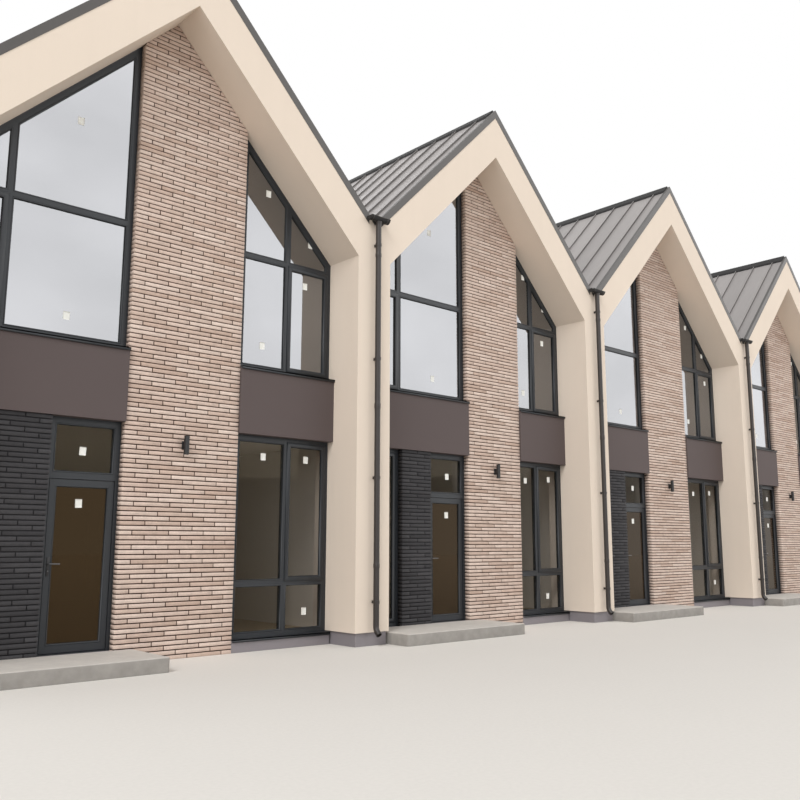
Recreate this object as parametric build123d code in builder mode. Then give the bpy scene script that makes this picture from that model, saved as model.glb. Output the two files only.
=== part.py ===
from build123d import *
from dataclasses import dataclass
from math import cos, radians, tan
import os

# A terraced row of four gabled houses, wide and narrow in turn, in millimetres.
# The row runs along X, the front faces -Y, and the ground is at Z = 0.
# The origin is on the ground, in the middle of the row's length and depth.

# The row
WIDE_HOUSE = 6300
NARROW_HOUSE = 5750
HOUSE_WIDTHS = (WIDE_HOUSE, NARROW_HOUSE, WIDE_HOUSE, NARROW_HOUSE)
HOUSE_DEPTH = 10000
PARTY_WALL = 300

# The rendered frame round each gable: a pilaster on each party line and a sloping band above
PILASTER = 640
RENDER_BASE = 190
PLINTH_RECESS = 30
SOFFIT_KNEE = 5780
ROOF_PITCH = 45.5
GABLE_BAND = 760
FRONT_REVEAL = 595
REAR_REVEAL = 200
WALL_BAND = 405

# Floors
GROUND_SLAB = 170
GROUND_HEAD = 2970
UPPER_SLAB = 280
SPANDREL_TOP = 3910
SPANDREL_PROUD = 29

# The metal roof
DECK_DEPTH = 500
SHEET_DEPTH = 12
VERGE_FACE = 155
VERGE_RISE = 20
VERGE_PLATE = 6
VERGE_BAR = 60
SEAM_PITCH = 530
FIRST_SEAM = 330
SEAM_WIDTH = 14
SEAM_RISE = 45
SEAM_ROOT = 4
RIDGE_CAP_HALF = 150
RIDGE_CAP_RISE = 50
VALLEY_HALF = 120
VALLEY_BED = 85
VALLEY_PLATE = 6
VALLEY_DRIP = 60

# Rainwater goods
PIPE_DIAMETER = 87
PIPE_OFFSET = 88
END_PIPE_OFFSET = 110
PIPE_FOOT = 80
SHOE_HEIGHT = 150
SHOE_REACH = 70
HOPPER_LENGTH = 380
HOPPER_RADIUS = 63
HOPPER_SHEET = 4
HOPPER_DROP = 4
CLIP_HEIGHT = 40
CLIP_WALL = 6
CLIP_STEM = 24
CLIP_COUNT = 4
FIRST_CLIP = 600
LAST_CLIP_DROP = 390

# The bays and the brick pier between them
PIER_START = 2685
WIDE_PIER = 1650
NARROW_PIER = 1400
BAY_PLINTH = 160

# Windows
WINDOW_SETBACK = 105
FRAME_DEPTH = 80
FRAME_BAR = 90
PANE_THICKNESS = 28
PANE_SETBACK = 25
UPPER_MULLION = 810
UPPER_TRANSOM_DROP = 165
LOWER_MULLION = 760
LOWER_TRANSOM_RISE = 745
SIDE_WINDOW = 810
SILL_THICKNESS = 15
SILL_PROUD = 25

# The glazed door, hung on the pier's side, with a top light over it
DOOR_BAY = 905
LATCH_JAMB = 45
HINGE_JAMB = 46
DOOR_HEAD = 2221
THRESHOLD_RISE = 12
HINGE_GAP = 6
LATCH_GAP = 10
HEAD_GAP = 6
FOOT_GAP = 8
LEAF_THICKNESS = 68
LATCH_STILE = 84
HINGE_STILE = 80
TOP_RAIL = 85
BOTTOM_RAIL = 100
DOOR_PANE = 28
KNUCKLE_RADIUS = 8
KNUCKLE_HEIGHT = 45
KNUCKLE_GAP = 0.3
HINGE_LEAF = 4
HINGE_REACH = 26
HINGE_INSET = 200
HANDLE_LEVEL = 1210
HANDLE_PLATE_WIDTH = 32
HANDLE_PLATE_HEIGHT = 220
HANDLE_PLATE_DEPTH = 8
HANDLE_BELOW = 33
LEVER_RADIUS = 9
LEVER_STANDOFF = 48
LEVER_LENGTH = 125

# Wall light and entrance step
LIGHT_TOP = 2852
LIGHT_LENGTH = 247
LIGHT_DIAMETER = 70
LIGHT_STANDOFF = 45
LIGHT_BRACKET = 50
STEP_REACH = 416
STEP_GAP = 10
STEP_PAST_PIER = 240

# Derived places
SLOPE = tan(radians(ROOF_PITCH))
ALONG_SLOPE = 1 / cos(radians(ROOF_PITCH))
ROW_LENGTH = sum(HOUSE_WIDTHS)
SHOE_MOUTH = PIPE_DIAMETER / 2 * cos(radians(45))
REAR_REACH = PIPE_OFFSET + max(HOPPER_RADIUS, SHOE_REACH + SHOE_MOUTH)
FRONT_Y = -(HOUSE_DEPTH + REAR_REACH - STEP_REACH) / 2
BACK_Y = FRONT_Y + HOUSE_DEPTH
FACES = ("front", "rear")
REVEAL = {"front": FRONT_REVEAL, "rear": REAR_REVEAL}
LAST_SEAM = HOUSE_DEPTH - FIRST_SEAM


@dataclass
class House:
    """One house of the row: its party lines and its brick pier."""

    left: float
    width: float
    pier_width: float

    @property
    def right(self):
        return self.left + self.width

    @property
    def middle(self):
        return self.left + self.width / 2

    @property
    def bay_left(self):
        return self.left + PILASTER / 2

    @property
    def pier_left(self):
        return self.left + PIER_START

    @property
    def pier_right(self):
        return self.pier_left + self.pier_width

    @property
    def bay_right(self):
        return self.right - PILASTER / 2

    @property
    def door_left(self):
        return self.pier_left - DOOR_BAY


@dataclass
class Window:
    """A glazed opening: its outline in X and Z, its bars and the wall it stands in."""

    face: str
    outline: list
    mullions: list
    transoms: list


def make_houses():
    """The houses from left to right, each with the pier of its own width."""
    houses = []
    left = -ROW_LENGTH / 2
    for width in HOUSE_WIDTHS:
        pier_width = WIDE_PIER if width == WIDE_HOUSE else NARROW_PIER
        houses.append(House(left, width, pier_width))
        left += width
    return houses


HOUSES = make_houses()
ROW_LEFT = HOUSES[0].left
ROW_RIGHT = HOUSES[-1].right
INNER_PARTY_LINES = [house.left for house in HOUSES[1:]]


def soffit(distance):
    """Height of the gable band's underside at a distance from the nearer party line."""
    return SOFFIT_KNEE + SLOPE * (distance - PILASTER / 2)


def verge(distance):
    """Height of the roof's outer edge at a distance from the nearer party line."""
    return soffit(distance) + GABLE_BAND + VERGE_FACE


def sheet_top(distance):
    """Height of the roof sheet's upper side."""
    return verge(distance) - VERGE_RISE


def deck_top(distance):
    """Height of the roof deck's upper side, under the sheet."""
    return sheet_top(distance) - SHEET_DEPTH


WALL_TOP = deck_top(PARTY_WALL / 2) - DECK_DEPTH


def soffit_at(house, x):
    """Height of the band's underside over a place in a house."""
    return soffit(min(x - house.left, house.right - x))


def span(face, near, far):
    """Y range of a layer, from its distances behind the outer face of the wall band."""
    if face == "front":
        outer = FRONT_Y + FRONT_REVEAL
        return outer + near, outer + far
    outer = BACK_Y - REAR_REVEAL
    return outer - far, outer - near


INSIDE = (span("front", 0, WALL_BAND)[1], span("rear", 0, WALL_BAND)[0])


def prism(points, y_range):
    """Add the solid of an outline in X and Z, carried along a range of Y."""
    with BuildSketch(Plane.XZ.offset(-y_range[0])) as outline:
        with BuildLine():
            Polyline(*points, close=True)
        make_face()
    extrude(outline.sketch, amount=-(y_range[1] - y_range[0]))


def block(x_range, y_range, z_range):
    """Add a rectangular block from its ranges."""
    centre = [(low + high) / 2 for low, high in (x_range, y_range, z_range)]
    size = [high - low for low, high in (x_range, y_range, z_range)]
    with Locations(tuple(centre)):
        Box(*size)


def slope_outline(house, hand, start, low_side, high_side):
    """Band between two roof lines, from a distance off the party line up to the ridge."""
    party = house.left if hand == "left" else house.right
    turn = 1 if hand == "left" else -1
    middle = house.width / 2
    return [
        (party + turn * start, low_side(start)),
        (party + turn * middle, low_side(middle)),
        (party + turn * middle, high_side(middle)),
        (party + turn * start, high_side(start)),
    ]


def footed_outline(house, hand, foot, foot_width, underside, top):
    """Roof slope with a level foot that stands on the wall or pilaster of the party line."""
    party = house.left if hand == "left" else house.right
    turn = 1 if hand == "left" else -1
    middle = house.width / 2
    return [
        (party, foot),
        (party + turn * foot_width, foot),
        (party + turn * middle, underside(middle)),
        (party + turn * middle, top(middle)),
        (party, top(0)),
    ]


def finish(builder, name):
    """Label a finished part and write it."""
    builder.part.label = name
    export_step(builder.part, f"parts/{name}.step")


def make_floors():
    """Concrete ground slabs and upper floors, one of each in every house."""
    with BuildPart() as ground_floors:
        for house in HOUSES:
            walls = (house.left + PARTY_WALL / 2, house.right - PARTY_WALL / 2)
            block(walls, INSIDE, (0, GROUND_SLAB))
    finish(ground_floors, "ground_floors")
    with BuildPart() as upper_floors:
        for house in HOUSES:
            walls = (house.left + PARTY_WALL / 2, house.right - PARTY_WALL / 2)
            block(walls, INSIDE, (GROUND_HEAD, GROUND_HEAD + UPPER_SLAB))
    finish(upper_floors, "upper_floors")


def make_walls():
    """Party walls between the houses and half party walls at the two ends of the row."""
    with BuildPart() as party_walls:
        for line in INNER_PARTY_LINES:
            block((line - PARTY_WALL / 2, line + PARTY_WALL / 2), INSIDE, (0, WALL_TOP))
    finish(party_walls, "party_walls")
    with BuildPart() as end_walls:
        block((ROW_LEFT, ROW_LEFT + PARTY_WALL / 2), INSIDE, (0, WALL_TOP))
        block((ROW_RIGHT - PARTY_WALL / 2, ROW_RIGHT), INSIDE, (0, WALL_TOP))
    finish(end_walls, "end_walls")


def pilaster_ranges():
    """X ranges of the pilasters: whole ones inside the row and half ones at its ends."""
    half = PILASTER / 2
    inner = [(line - half, line + half) for line in INNER_PARTY_LINES]
    return [(ROW_LEFT, ROW_LEFT + half)] + inner + [(ROW_RIGHT - half, ROW_RIGHT)]


def make_pilasters():
    """Rendered pilasters, front and rear, each over a recessed plinth."""
    with BuildPart() as pilasters:
        for face in FACES:
            for x_range in pilaster_ranges():
                y_range = span(face, -REVEAL[face], WALL_BAND)
                block(x_range, y_range, (RENDER_BASE, SOFFIT_KNEE))
    finish(pilasters, "pilasters")
    with BuildPart() as pilaster_plinths:
        for face in FACES:
            for left, right in pilaster_ranges():
                y_range = span(face, PLINTH_RECESS - REVEAL[face], WALL_BAND)
                near_left = left if left == ROW_LEFT else left + PLINTH_RECESS
                near_right = right if right == ROW_RIGHT else right - PLINTH_RECESS
                block((near_left, near_right), y_range, (0, RENDER_BASE))
    finish(pilaster_plinths, "pilaster_plinths")


def make_rakes(hand):
    """Rendered bands that slope up one side of each gable, front and rear."""
    with BuildPart() as rakes:
        for house in HOUSES:
            outline = footed_outline(house, hand, SOFFIT_KNEE, PILASTER / 2, soffit, deck_top)
            for face in FACES:
                prism(outline, span(face, -REVEAL[face], WALL_BAND))
    finish(rakes, f"{hand}_rakes")


def deck_underside(distance):
    """Height of the roof deck's underside inside the house."""
    return deck_top(distance) - DECK_DEPTH


def make_decks(hand):
    """Insulated roof decks between the front and rear gable bands."""
    with BuildPart() as decks:
        for house in HOUSES:
            outline = footed_outline(
                house, hand, WALL_TOP, PARTY_WALL / 2, deck_underside, deck_top
            )
            prism(outline, INSIDE)
    finish(decks, f"{hand}_roof_decks")


def seam_places():
    """Places of the standing seams, counted back from the front face."""
    count = int((LAST_SEAM - FIRST_SEAM) // SEAM_PITCH) + 1
    return [FRONT_Y + FIRST_SEAM + SEAM_PITCH * index for index in range(count)]


def make_sheets(hand):
    """Metal roof sheets with standing seams that run from the valley to the ridge."""
    turn = 1 if hand == "left" else -1
    with BuildPart() as sheets:
        for house in HOUSES:
            outline = slope_outline(house, hand, 0, deck_top, sheet_top)
            prism(outline, (FRONT_Y + VERGE_BAR, BACK_Y - VERGE_BAR))
            party = house.left if hand == "left" else house.right
            low_end = party + turn * VALLEY_HALF
            run = house.width / 2 - VALLEY_HALF - RIDGE_CAP_HALF
            seam_middle = sheet_top(VALLEY_HALF) + (SEAM_RISE - SEAM_ROOT) / 2
            with BuildSketch(Plane.YZ.offset(low_end)) as seams:
                with Locations(*[(y, seam_middle) for y in seam_places()]):
                    Rectangle(SEAM_WIDTH, SEAM_RISE + SEAM_ROOT)
            extrude(seams.sketch, amount=run * ALONG_SLOPE, dir=(turn, 0, SLOPE))
    finish(sheets, f"{hand}_roof_sheets")


def make_ridge_caps():
    """Folded caps over the ridges, between the verge trims of the two gables."""
    with BuildPart() as ridge_caps:
        for house in HOUSES:
            half = house.width / 2
            foot = half - RIDGE_CAP_HALF
            outline = [
                (house.left + foot, sheet_top(foot)),
                (house.middle, sheet_top(half)),
                (house.right - foot, sheet_top(foot)),
                (house.right - foot, sheet_top(foot) + RIDGE_CAP_RISE),
                (house.middle, sheet_top(half) + RIDGE_CAP_RISE),
                (house.left + foot, sheet_top(foot) + RIDGE_CAP_RISE),
            ]
            prism(outline, (FRONT_Y + VERGE_BAR, BACK_Y - VERGE_BAR))
    finish(ridge_caps, "ridge_caps")


def verge_foot(distance):
    """Height of the lower edge of the metal verge face."""
    return verge(distance) - VERGE_FACE


def make_verge_trims(hand):
    """Metal trims over the gable edges: a face plate and a bar on the roof's edge."""
    with BuildPart() as verge_trims:
        for house in HOUSES:
            plate = slope_outline(house, hand, VALLEY_HALF, verge_foot, verge)
            bar = slope_outline(house, hand, VALLEY_HALF, deck_top, verge)
            prism(plate, (FRONT_Y - VERGE_PLATE, FRONT_Y))
            prism(bar, (FRONT_Y, FRONT_Y + VERGE_BAR))
            prism(plate, (BACK_Y, BACK_Y + VERGE_PLATE))
            prism(bar, (BACK_Y - VERGE_BAR, BACK_Y))
    finish(verge_trims, f"{hand}_verge_trims")


BED_LEVEL = sheet_top(VALLEY_BED)


def valley_outline(line, turn):
    """Half the section of a flat-bottomed valley gutter, whose side lies on the sheets."""
    high = sheet_top(VALLEY_HALF)
    return [
        (line, BED_LEVEL),
        (line + turn * VALLEY_BED, BED_LEVEL),
        (line + turn * VALLEY_HALF, high),
        (line + turn * VALLEY_HALF, high + VALLEY_PLATE),
        (line + turn * VALLEY_BED, BED_LEVEL + VALLEY_PLATE),
        (line, BED_LEVEL + VALLEY_PLATE),
    ]


def apron_outline(line, turn, width, low):
    """Section of a plate from the slope under a valley gutter up to its flat bottom."""
    return [
        (line, low(0)),
        (line + turn * width, low(width)),
        (line + turn * width, BED_LEVEL),
        (line, BED_LEVEL),
    ]


def make_valley_gutters():
    """Flat-bottomed gutters in the valleys, closed at both ends and along the ends of the row."""
    mouths = (FRONT_Y - VALLEY_DRIP, BACK_Y + VALLEY_DRIP)
    front_edge = (FRONT_Y, FRONT_Y + VERGE_BAR)
    back_edge = (BACK_Y - VERGE_BAR, BACK_Y)
    between = (FRONT_Y + VERGE_BAR, BACK_Y - VERGE_BAR)
    sides = [(ROW_LEFT, 1), (ROW_RIGHT, -1)]
    with BuildPart() as valley_gutters:
        for line, turn in sides + [(line, turn) for line in INNER_PARTY_LINES for turn in (1, -1)]:
            prism(valley_outline(line, turn), mouths)
            apron = apron_outline(line, turn, VALLEY_BED, deck_top)
            prism(apron, (FRONT_Y, FRONT_Y + VALLEY_PLATE))
            prism(apron, (BACK_Y - VALLEY_PLATE, BACK_Y))
        for line, turn in sides:
            edge = apron_outline(line, turn, VALLEY_PLATE, deck_top)
            prism(edge, front_edge)
            prism(edge, back_edge)
            prism(apron_outline(line, turn, VALLEY_PLATE, sheet_top), between)
            upstand = (line, line + turn * VALLEY_PLATE)
            block((min(upstand), max(upstand)), mouths, (BED_LEVEL, sheet_top(VALLEY_HALF) + VALLEY_PLATE))
    finish(valley_gutters, "valley_gutters")


def hopper_ranges():
    """X ranges of the short gutters that catch the valleys' water."""
    half = HOPPER_LENGTH / 2
    inner = [(line - half, line + half) for line in INNER_PARTY_LINES]
    return [(ROW_LEFT, ROW_LEFT + half)] + inner + [(ROW_RIGHT - half, ROW_RIGHT)]


def pipe_lines():
    """X places of the downpipes."""
    return [ROW_LEFT + END_PIPE_OFFSET] + INNER_PARTY_LINES + [ROW_RIGHT - END_PIPE_OFFSET]


def pipe_y(face):
    """Y place of the downpipes' axis on one face of the row."""
    return FRONT_Y - PIPE_OFFSET if face == "front" else BACK_Y + PIPE_OFFSET


HOPPER_RIM = BED_LEVEL - HOPPER_DROP
HOPPER_BASE = HOPPER_RIM - HOPPER_RADIUS


def make_hoppers():
    """Half-round troughs with closed ends, one under the mouth of each valley gutter."""
    with BuildPart() as hoppers:
        for face in FACES:
            for left, right in hopper_ranges():
                with BuildSketch(Plane.YZ.offset(left)) as section:
                    with Locations((pipe_y(face), HOPPER_RIM)):
                        Circle(HOPPER_RADIUS)
                    with Locations((pipe_y(face), HOPPER_RIM + HOPPER_RADIUS / 2)):
                        Rectangle(2 * HOPPER_RADIUS, HOPPER_RADIUS, mode=Mode.SUBTRACT)
                extrude(section.sketch, amount=right - left)
                with BuildSketch(Plane.YZ.offset(left + HOPPER_SHEET)) as hollow:
                    with Locations((pipe_y(face), HOPPER_RIM)):
                        Circle(HOPPER_RADIUS - HOPPER_SHEET)
                extrude(hollow.sketch, amount=right - left - 2 * HOPPER_SHEET, mode=Mode.SUBTRACT)
    finish(hoppers, "hoppers")


def make_downpipes():
    """Round downpipes, each from the underside of its hopper to an angled shoe."""
    with BuildPart() as downpipes:
        for face in FACES:
            outward = -1 if face == "front" else 1
            for x in pipe_lines():
                y = pipe_y(face)
                with BuildLine() as route:
                    FilletPolyline(
                        (x, y, HOPPER_BASE),
                        (x, y, PIPE_FOOT + SHOE_HEIGHT),
                        (x, y + outward * SHOE_REACH, PIPE_FOOT + SHOE_HEIGHT - SHOE_REACH),
                        radius=PIPE_DIAMETER,
                    )
                with BuildSketch(Plane.XY.offset(HOPPER_BASE)) as section:
                    with Locations((x, y)):
                        Circle(PIPE_DIAMETER / 2)
                sweep(section.sketch, path=route.line)
    finish(downpipes, "downpipes")


def clip_levels():
    """Heights of the pipe clips, evenly spaced between the shoe and the hopper."""
    step = (HOPPER_BASE - LAST_CLIP_DROP - FIRST_CLIP) / (CLIP_COUNT - 1)
    return [FIRST_CLIP + step * index for index in range(CLIP_COUNT)]


def make_pipe_clips():
    """Pipe brackets: a ring round the pipe on a stem that stands on the wall."""
    with BuildPart() as pipe_clips:
        for face in FACES:
            outward = -1 if face == "front" else 1
            wall = FRONT_Y if face == "front" else BACK_Y
            for x in pipe_lines():
                for level in clip_levels():
                    with BuildSketch(Plane.XY.offset(level)) as ring:
                        with Locations((x, pipe_y(face))):
                            Circle(PIPE_DIAMETER / 2 + CLIP_WALL)
                            Circle(PIPE_DIAMETER / 2, mode=Mode.SUBTRACT)
                    extrude(ring.sketch, amount=CLIP_HEIGHT)
                    stem_end = pipe_y(face) - outward * (PIPE_DIAMETER + CLIP_WALL) / 2
                    y_range = (min(wall, stem_end), max(wall, stem_end))
                    x_range = (x - CLIP_STEM / 2, x + CLIP_STEM / 2)
                    block(x_range, y_range, (level, level + CLIP_HEIGHT))
    finish(pipe_clips, "pipe_clips")


def make_piers():
    """Brick piers from the ground to the soffit, front and rear, in every house."""
    with BuildPart() as brick_piers:
        for house in HOUSES:
            outline = [
                (house.pier_left, 0),
                (house.pier_right, 0),
                (house.pier_right, soffit_at(house, house.pier_right)),
                (house.middle, soffit(house.width / 2)),
                (house.pier_left, soffit_at(house, house.pier_left)),
            ]
            for face in FACES:
                prism(outline, span(face, 0, WALL_BAND))
    finish(brick_piers, "brick_piers")


def make_dark_panels():
    """Dark brick panels between the side window and the door."""
    with BuildPart() as dark_brick_panels:
        for house in HOUSES:
            x_range = (house.bay_left + SIDE_WINDOW, house.door_left)
            block(x_range, span("front", 0, WALL_BAND), (BAY_PLINTH, GROUND_HEAD))
    finish(dark_brick_panels, "dark_brick_panels")


def bays(house):
    """X ranges of the two glazed bays beside the pier."""
    return [(house.bay_left, house.pier_left), (house.pier_right, house.bay_right)]


def make_spandrels():
    """Smooth spandrels between the ground floor and upper floor windows."""
    with BuildPart() as spandrels:
        for house in HOUSES:
            for face in FACES:
                y_range = span(face, -SPANDREL_PROUD, WALL_BAND)
                for bay in bays(house):
                    block(bay, y_range, (GROUND_HEAD, SPANDREL_TOP))
    finish(spandrels, "spandrels")


def make_bay_plinths():
    """Low plinths under the ground floor windows and doors."""
    with BuildPart() as bay_plinths:
        for house in HOUSES:
            for face in FACES:
                for bay in bays(house):
                    block(bay, span(face, 0, WALL_BAND), (0, BAY_PLINTH))
    finish(bay_plinths, "bay_plinths")


def make_sills():
    """Folded metal sills in front of the windows."""
    with BuildPart() as window_sills:
        for house in HOUSES:
            left_bay, right_bay = bays(house)
            for face in FACES:
                upper_y = span(face, -SPANDREL_PROUD - SILL_PROUD, WINDOW_SETBACK)
                for bay in (left_bay, right_bay):
                    block(bay, upper_y, (SPANDREL_TOP, SPANDREL_TOP + SILL_THICKNESS))
                lower_y = span(face, -SILL_PROUD, WINDOW_SETBACK)
                lower_bays = [right_bay] if face == "front" else [left_bay, right_bay]
                for bay in lower_bays:
                    block(bay, lower_y, (BAY_PLINTH, BAY_PLINTH + SILL_THICKNESS))
    finish(window_sills, "window_sills")


def upper_windows():
    """The windows over the spandrels, with heads that follow the soffit."""
    windows = []
    for house in HOUSES:
        for face in FACES:
            for left, right in bays(house):
                outline = [
                    (left, SPANDREL_TOP),
                    (right, SPANDREL_TOP),
                    (right, soffit_at(house, right)),
                    (left, soffit_at(house, left)),
                ]
                if left == house.bay_left:
                    mullion = left + UPPER_MULLION
                else:
                    mullion = right - UPPER_MULLION
                windows.append(Window(face, outline, [mullion], [SOFFIT_KNEE - UPPER_TRANSOM_DROP]))
    return windows


def box_outline(left, right, bottom, top):
    """Corners of an upright rectangle in X and Z."""
    return [(left, bottom), (right, bottom), (right, top), (left, top)]


def lower_windows():
    """The ground floor windows, the side windows and the top lights over the doors."""
    windows = []
    transoms = [BAY_PLINTH + LOWER_TRANSOM_RISE]
    for house in HOUSES:
        left_bay, right_bay = bays(house)
        right_outline = box_outline(*right_bay, BAY_PLINTH, GROUND_HEAD)
        mullion = house.bay_right - LOWER_MULLION
        for face in FACES:
            windows.append(Window(face, right_outline, [mullion], transoms))
        left_outline = box_outline(*left_bay, BAY_PLINTH, GROUND_HEAD)
        left_mullion = house.bay_left + LOWER_MULLION
        windows.append(Window("rear", left_outline, [left_mullion], transoms))
        side_right = house.bay_left + SIDE_WINDOW
        side_outline = box_outline(house.bay_left, side_right, BAY_PLINTH, GROUND_HEAD)
        windows.append(Window("front", side_outline, [], []))
        top_light = box_outline(house.door_left, house.pier_left, DOOR_HEAD, GROUND_HEAD)
        windows.append(Window("front", top_light, [], []))
    return windows


def outline_sketch(window, y_low):
    """The whole outline of a window as a sketch on its plane."""
    with BuildSketch(Plane.XZ.offset(-y_low)) as whole:
        with BuildLine():
            Polyline(*window.outline, close=True)
        make_face()
    return whole.sketch


def glass_sketch(window, y_low):
    """The lights of a window: its outline less the frame, the mullions and the transoms."""
    width = window.outline[1][0] - window.outline[0][0]
    height = max(z for x, z in window.outline)
    centre = (window.outline[1][0] + window.outline[0][0]) / 2
    with BuildSketch(Plane.XZ.offset(-y_low)) as glass:
        with BuildLine():
            Polyline(*window.outline, close=True)
        make_face()
        offset(amount=-FRAME_BAR)
        for x in window.mullions:
            with Locations((x, height)):
                Rectangle(FRAME_BAR, 2 * height, mode=Mode.SUBTRACT)
        for z in window.transoms:
            with Locations((centre, z)):
                Rectangle(width, FRAME_BAR, mode=Mode.SUBTRACT)
    return glass.sketch


def make_frames(windows, name):
    """Window frames with their mullions and transoms, each in one piece."""
    with BuildPart() as frames:
        for window in windows:
            low, high = span(window.face, WINDOW_SETBACK, WINDOW_SETBACK + FRAME_DEPTH)
            extrude(outline_sketch(window, low) - glass_sketch(window, low), amount=low - high)
    finish(frames, name)


def make_panes(windows, name):
    """Glass units that fill the lights of the frames."""
    with BuildPart() as panes:
        near = WINDOW_SETBACK + PANE_SETBACK
        for window in windows:
            low, high = span(window.face, near, near + PANE_THICKNESS)
            extrude(glass_sketch(window, low), amount=low - high)
    finish(panes, name)


FRAME_Y = span("front", WINDOW_SETBACK, WINDOW_SETBACK + FRAME_DEPTH)
LEAF_Y = (FRAME_Y[1] - LEAF_THICKNESS, FRAME_Y[1])
LEAF_FOOT = BAY_PLINTH + THRESHOLD_RISE + FOOT_GAP
LEAF_HEAD = DOOR_HEAD - HEAD_GAP
AXIS_Y = FRAME_Y[1] + KNUCKLE_RADIUS


def leaf_range(house):
    """X range of a closed door leaf."""
    left = house.door_left + LATCH_JAMB + LATCH_GAP
    right = house.pier_left - HINGE_JAMB - HINGE_GAP
    return left, right


def axis_x(house):
    """X place of a door's hinge axis, in the middle of the gap by the hinge jamb."""
    return house.pier_left - HINGE_JAMB - HINGE_GAP / 2


def hinge_levels():
    """Heights of the joints between the fixed and the moving knuckles."""
    middle = (LEAF_FOOT + LEAF_HEAD) / 2
    return (LEAF_FOOT + HINGE_INSET, middle, LEAF_HEAD - HINGE_INSET)


def make_door_frames():
    """Jambs and thresholds of the doors."""
    with BuildPart() as door_jambs:
        for house in HOUSES:
            z_range = (BAY_PLINTH, DOOR_HEAD)
            block((house.door_left, house.door_left + LATCH_JAMB), FRAME_Y, z_range)
            block((house.pier_left - HINGE_JAMB, house.pier_left), FRAME_Y, z_range)
    finish(door_jambs, "door_jambs")
    with BuildPart() as door_thresholds:
        for house in HOUSES:
            x_range = (house.door_left + LATCH_JAMB, house.pier_left - HINGE_JAMB)
            block(x_range, FRAME_Y, (BAY_PLINTH, BAY_PLINTH + THRESHOLD_RISE))
    finish(door_thresholds, "door_thresholds")


def knuckle(house, base):
    """Add one knuckle of a hinge, from its base upwards."""
    with Locations((axis_x(house), AXIS_Y, base + KNUCKLE_HEIGHT / 2)):
        Cylinder(KNUCKLE_RADIUS, KNUCKLE_HEIGHT)


def make_door_hinges():
    """Fixed halves of the hinges, each a knuckle with a leaf on the jamb."""
    with BuildPart() as door_hinges:
        for house in HOUSES:
            for level in hinge_levels():
                base = level - KNUCKLE_HEIGHT
                knuckle(house, base)
                x_range = (axis_x(house), axis_x(house) + HINGE_REACH)
                y_range = (FRAME_Y[1], FRAME_Y[1] + HINGE_LEAF)
                block(x_range, y_range, (base, level))
    finish(door_hinges, "door_hinges")


def make_leaf(house, name):
    """Door leaf: two stiles and two rails round the glass, with its halves of the hinges."""
    left, right = leaf_range(house)
    with BuildPart() as leaf:
        block((left, right), LEAF_Y, (LEAF_FOOT, LEAF_HEAD))
        opening_x = (left + LATCH_STILE, right - HINGE_STILE)
        opening_z = (LEAF_FOOT + BOTTOM_RAIL, LEAF_HEAD - TOP_RAIL)
        with BuildSketch(Plane.XZ.offset(-LEAF_Y[0])) as opening:
            with BuildLine():
                Polyline(*box_outline(*opening_x, *opening_z), close=True)
            make_face()
        extrude(opening.sketch, amount=-LEAF_THICKNESS, mode=Mode.SUBTRACT)
        for level in hinge_levels():
            base = level + KNUCKLE_GAP
            knuckle(house, base)
            x_range = (axis_x(house) - HINGE_REACH, axis_x(house))
            y_range = (LEAF_Y[1], LEAF_Y[1] + HINGE_LEAF)
            block(x_range, y_range, (base, base + KNUCKLE_HEIGHT))
    finish(leaf, f"{name}_leaf")


def make_door_glass(house, name):
    """Glass unit of a door leaf."""
    left, right = leaf_range(house)
    middle = (LEAF_Y[0] + LEAF_Y[1]) / 2
    with BuildPart() as glass:
        block(
            (left + LATCH_STILE, right - HINGE_STILE),
            (middle - DOOR_PANE / 2, middle + DOOR_PANE / 2),
            (LEAF_FOOT + BOTTOM_RAIL, LEAF_HEAD - TOP_RAIL),
        )
    finish(glass, f"{name}_glass")


def make_handles(house, name):
    """Lever handles on both sides of a leaf, each on a long back plate."""
    left = leaf_range(house)[0]
    x = left + LATCH_STILE / 2
    top = HANDLE_LEVEL + HANDLE_PLATE_HEIGHT / 2 - HANDLE_BELOW
    with BuildPart() as handles:
        for outward, face_y in ((-1, LEAF_Y[0]), (1, LEAF_Y[1])):
            plate_end = face_y + outward * HANDLE_PLATE_DEPTH
            y_range = (min(face_y, plate_end), max(face_y, plate_end))
            x_range = (x - HANDLE_PLATE_WIDTH / 2, x + HANDLE_PLATE_WIDTH / 2)
            block(x_range, y_range, (top - HANDLE_PLATE_HEIGHT, top))
            tip_y = face_y + outward * LEVER_STANDOFF
            with BuildLine() as route:
                FilletPolyline(
                    (x, face_y + outward * HANDLE_PLATE_DEPTH, HANDLE_LEVEL),
                    (x, tip_y, HANDLE_LEVEL),
                    (x + LEVER_LENGTH, tip_y, HANDLE_LEVEL),
                    radius=2 * LEVER_RADIUS,
                )
            with BuildSketch(Plane.XZ.offset(-plate_end)) as section:
                with Locations((x, HANDLE_LEVEL)):
                    Circle(LEVER_RADIUS)
            sweep(section.sketch, path=route.line)
    finish(handles, f"{name}_handles")


def make_doors():
    """The moving doors, one in each house."""
    for number, house in enumerate(HOUSES, start=1):
        name = f"door_{number}"
        make_leaf(house, name)
        make_door_glass(house, name)
        make_handles(house, name)


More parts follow.
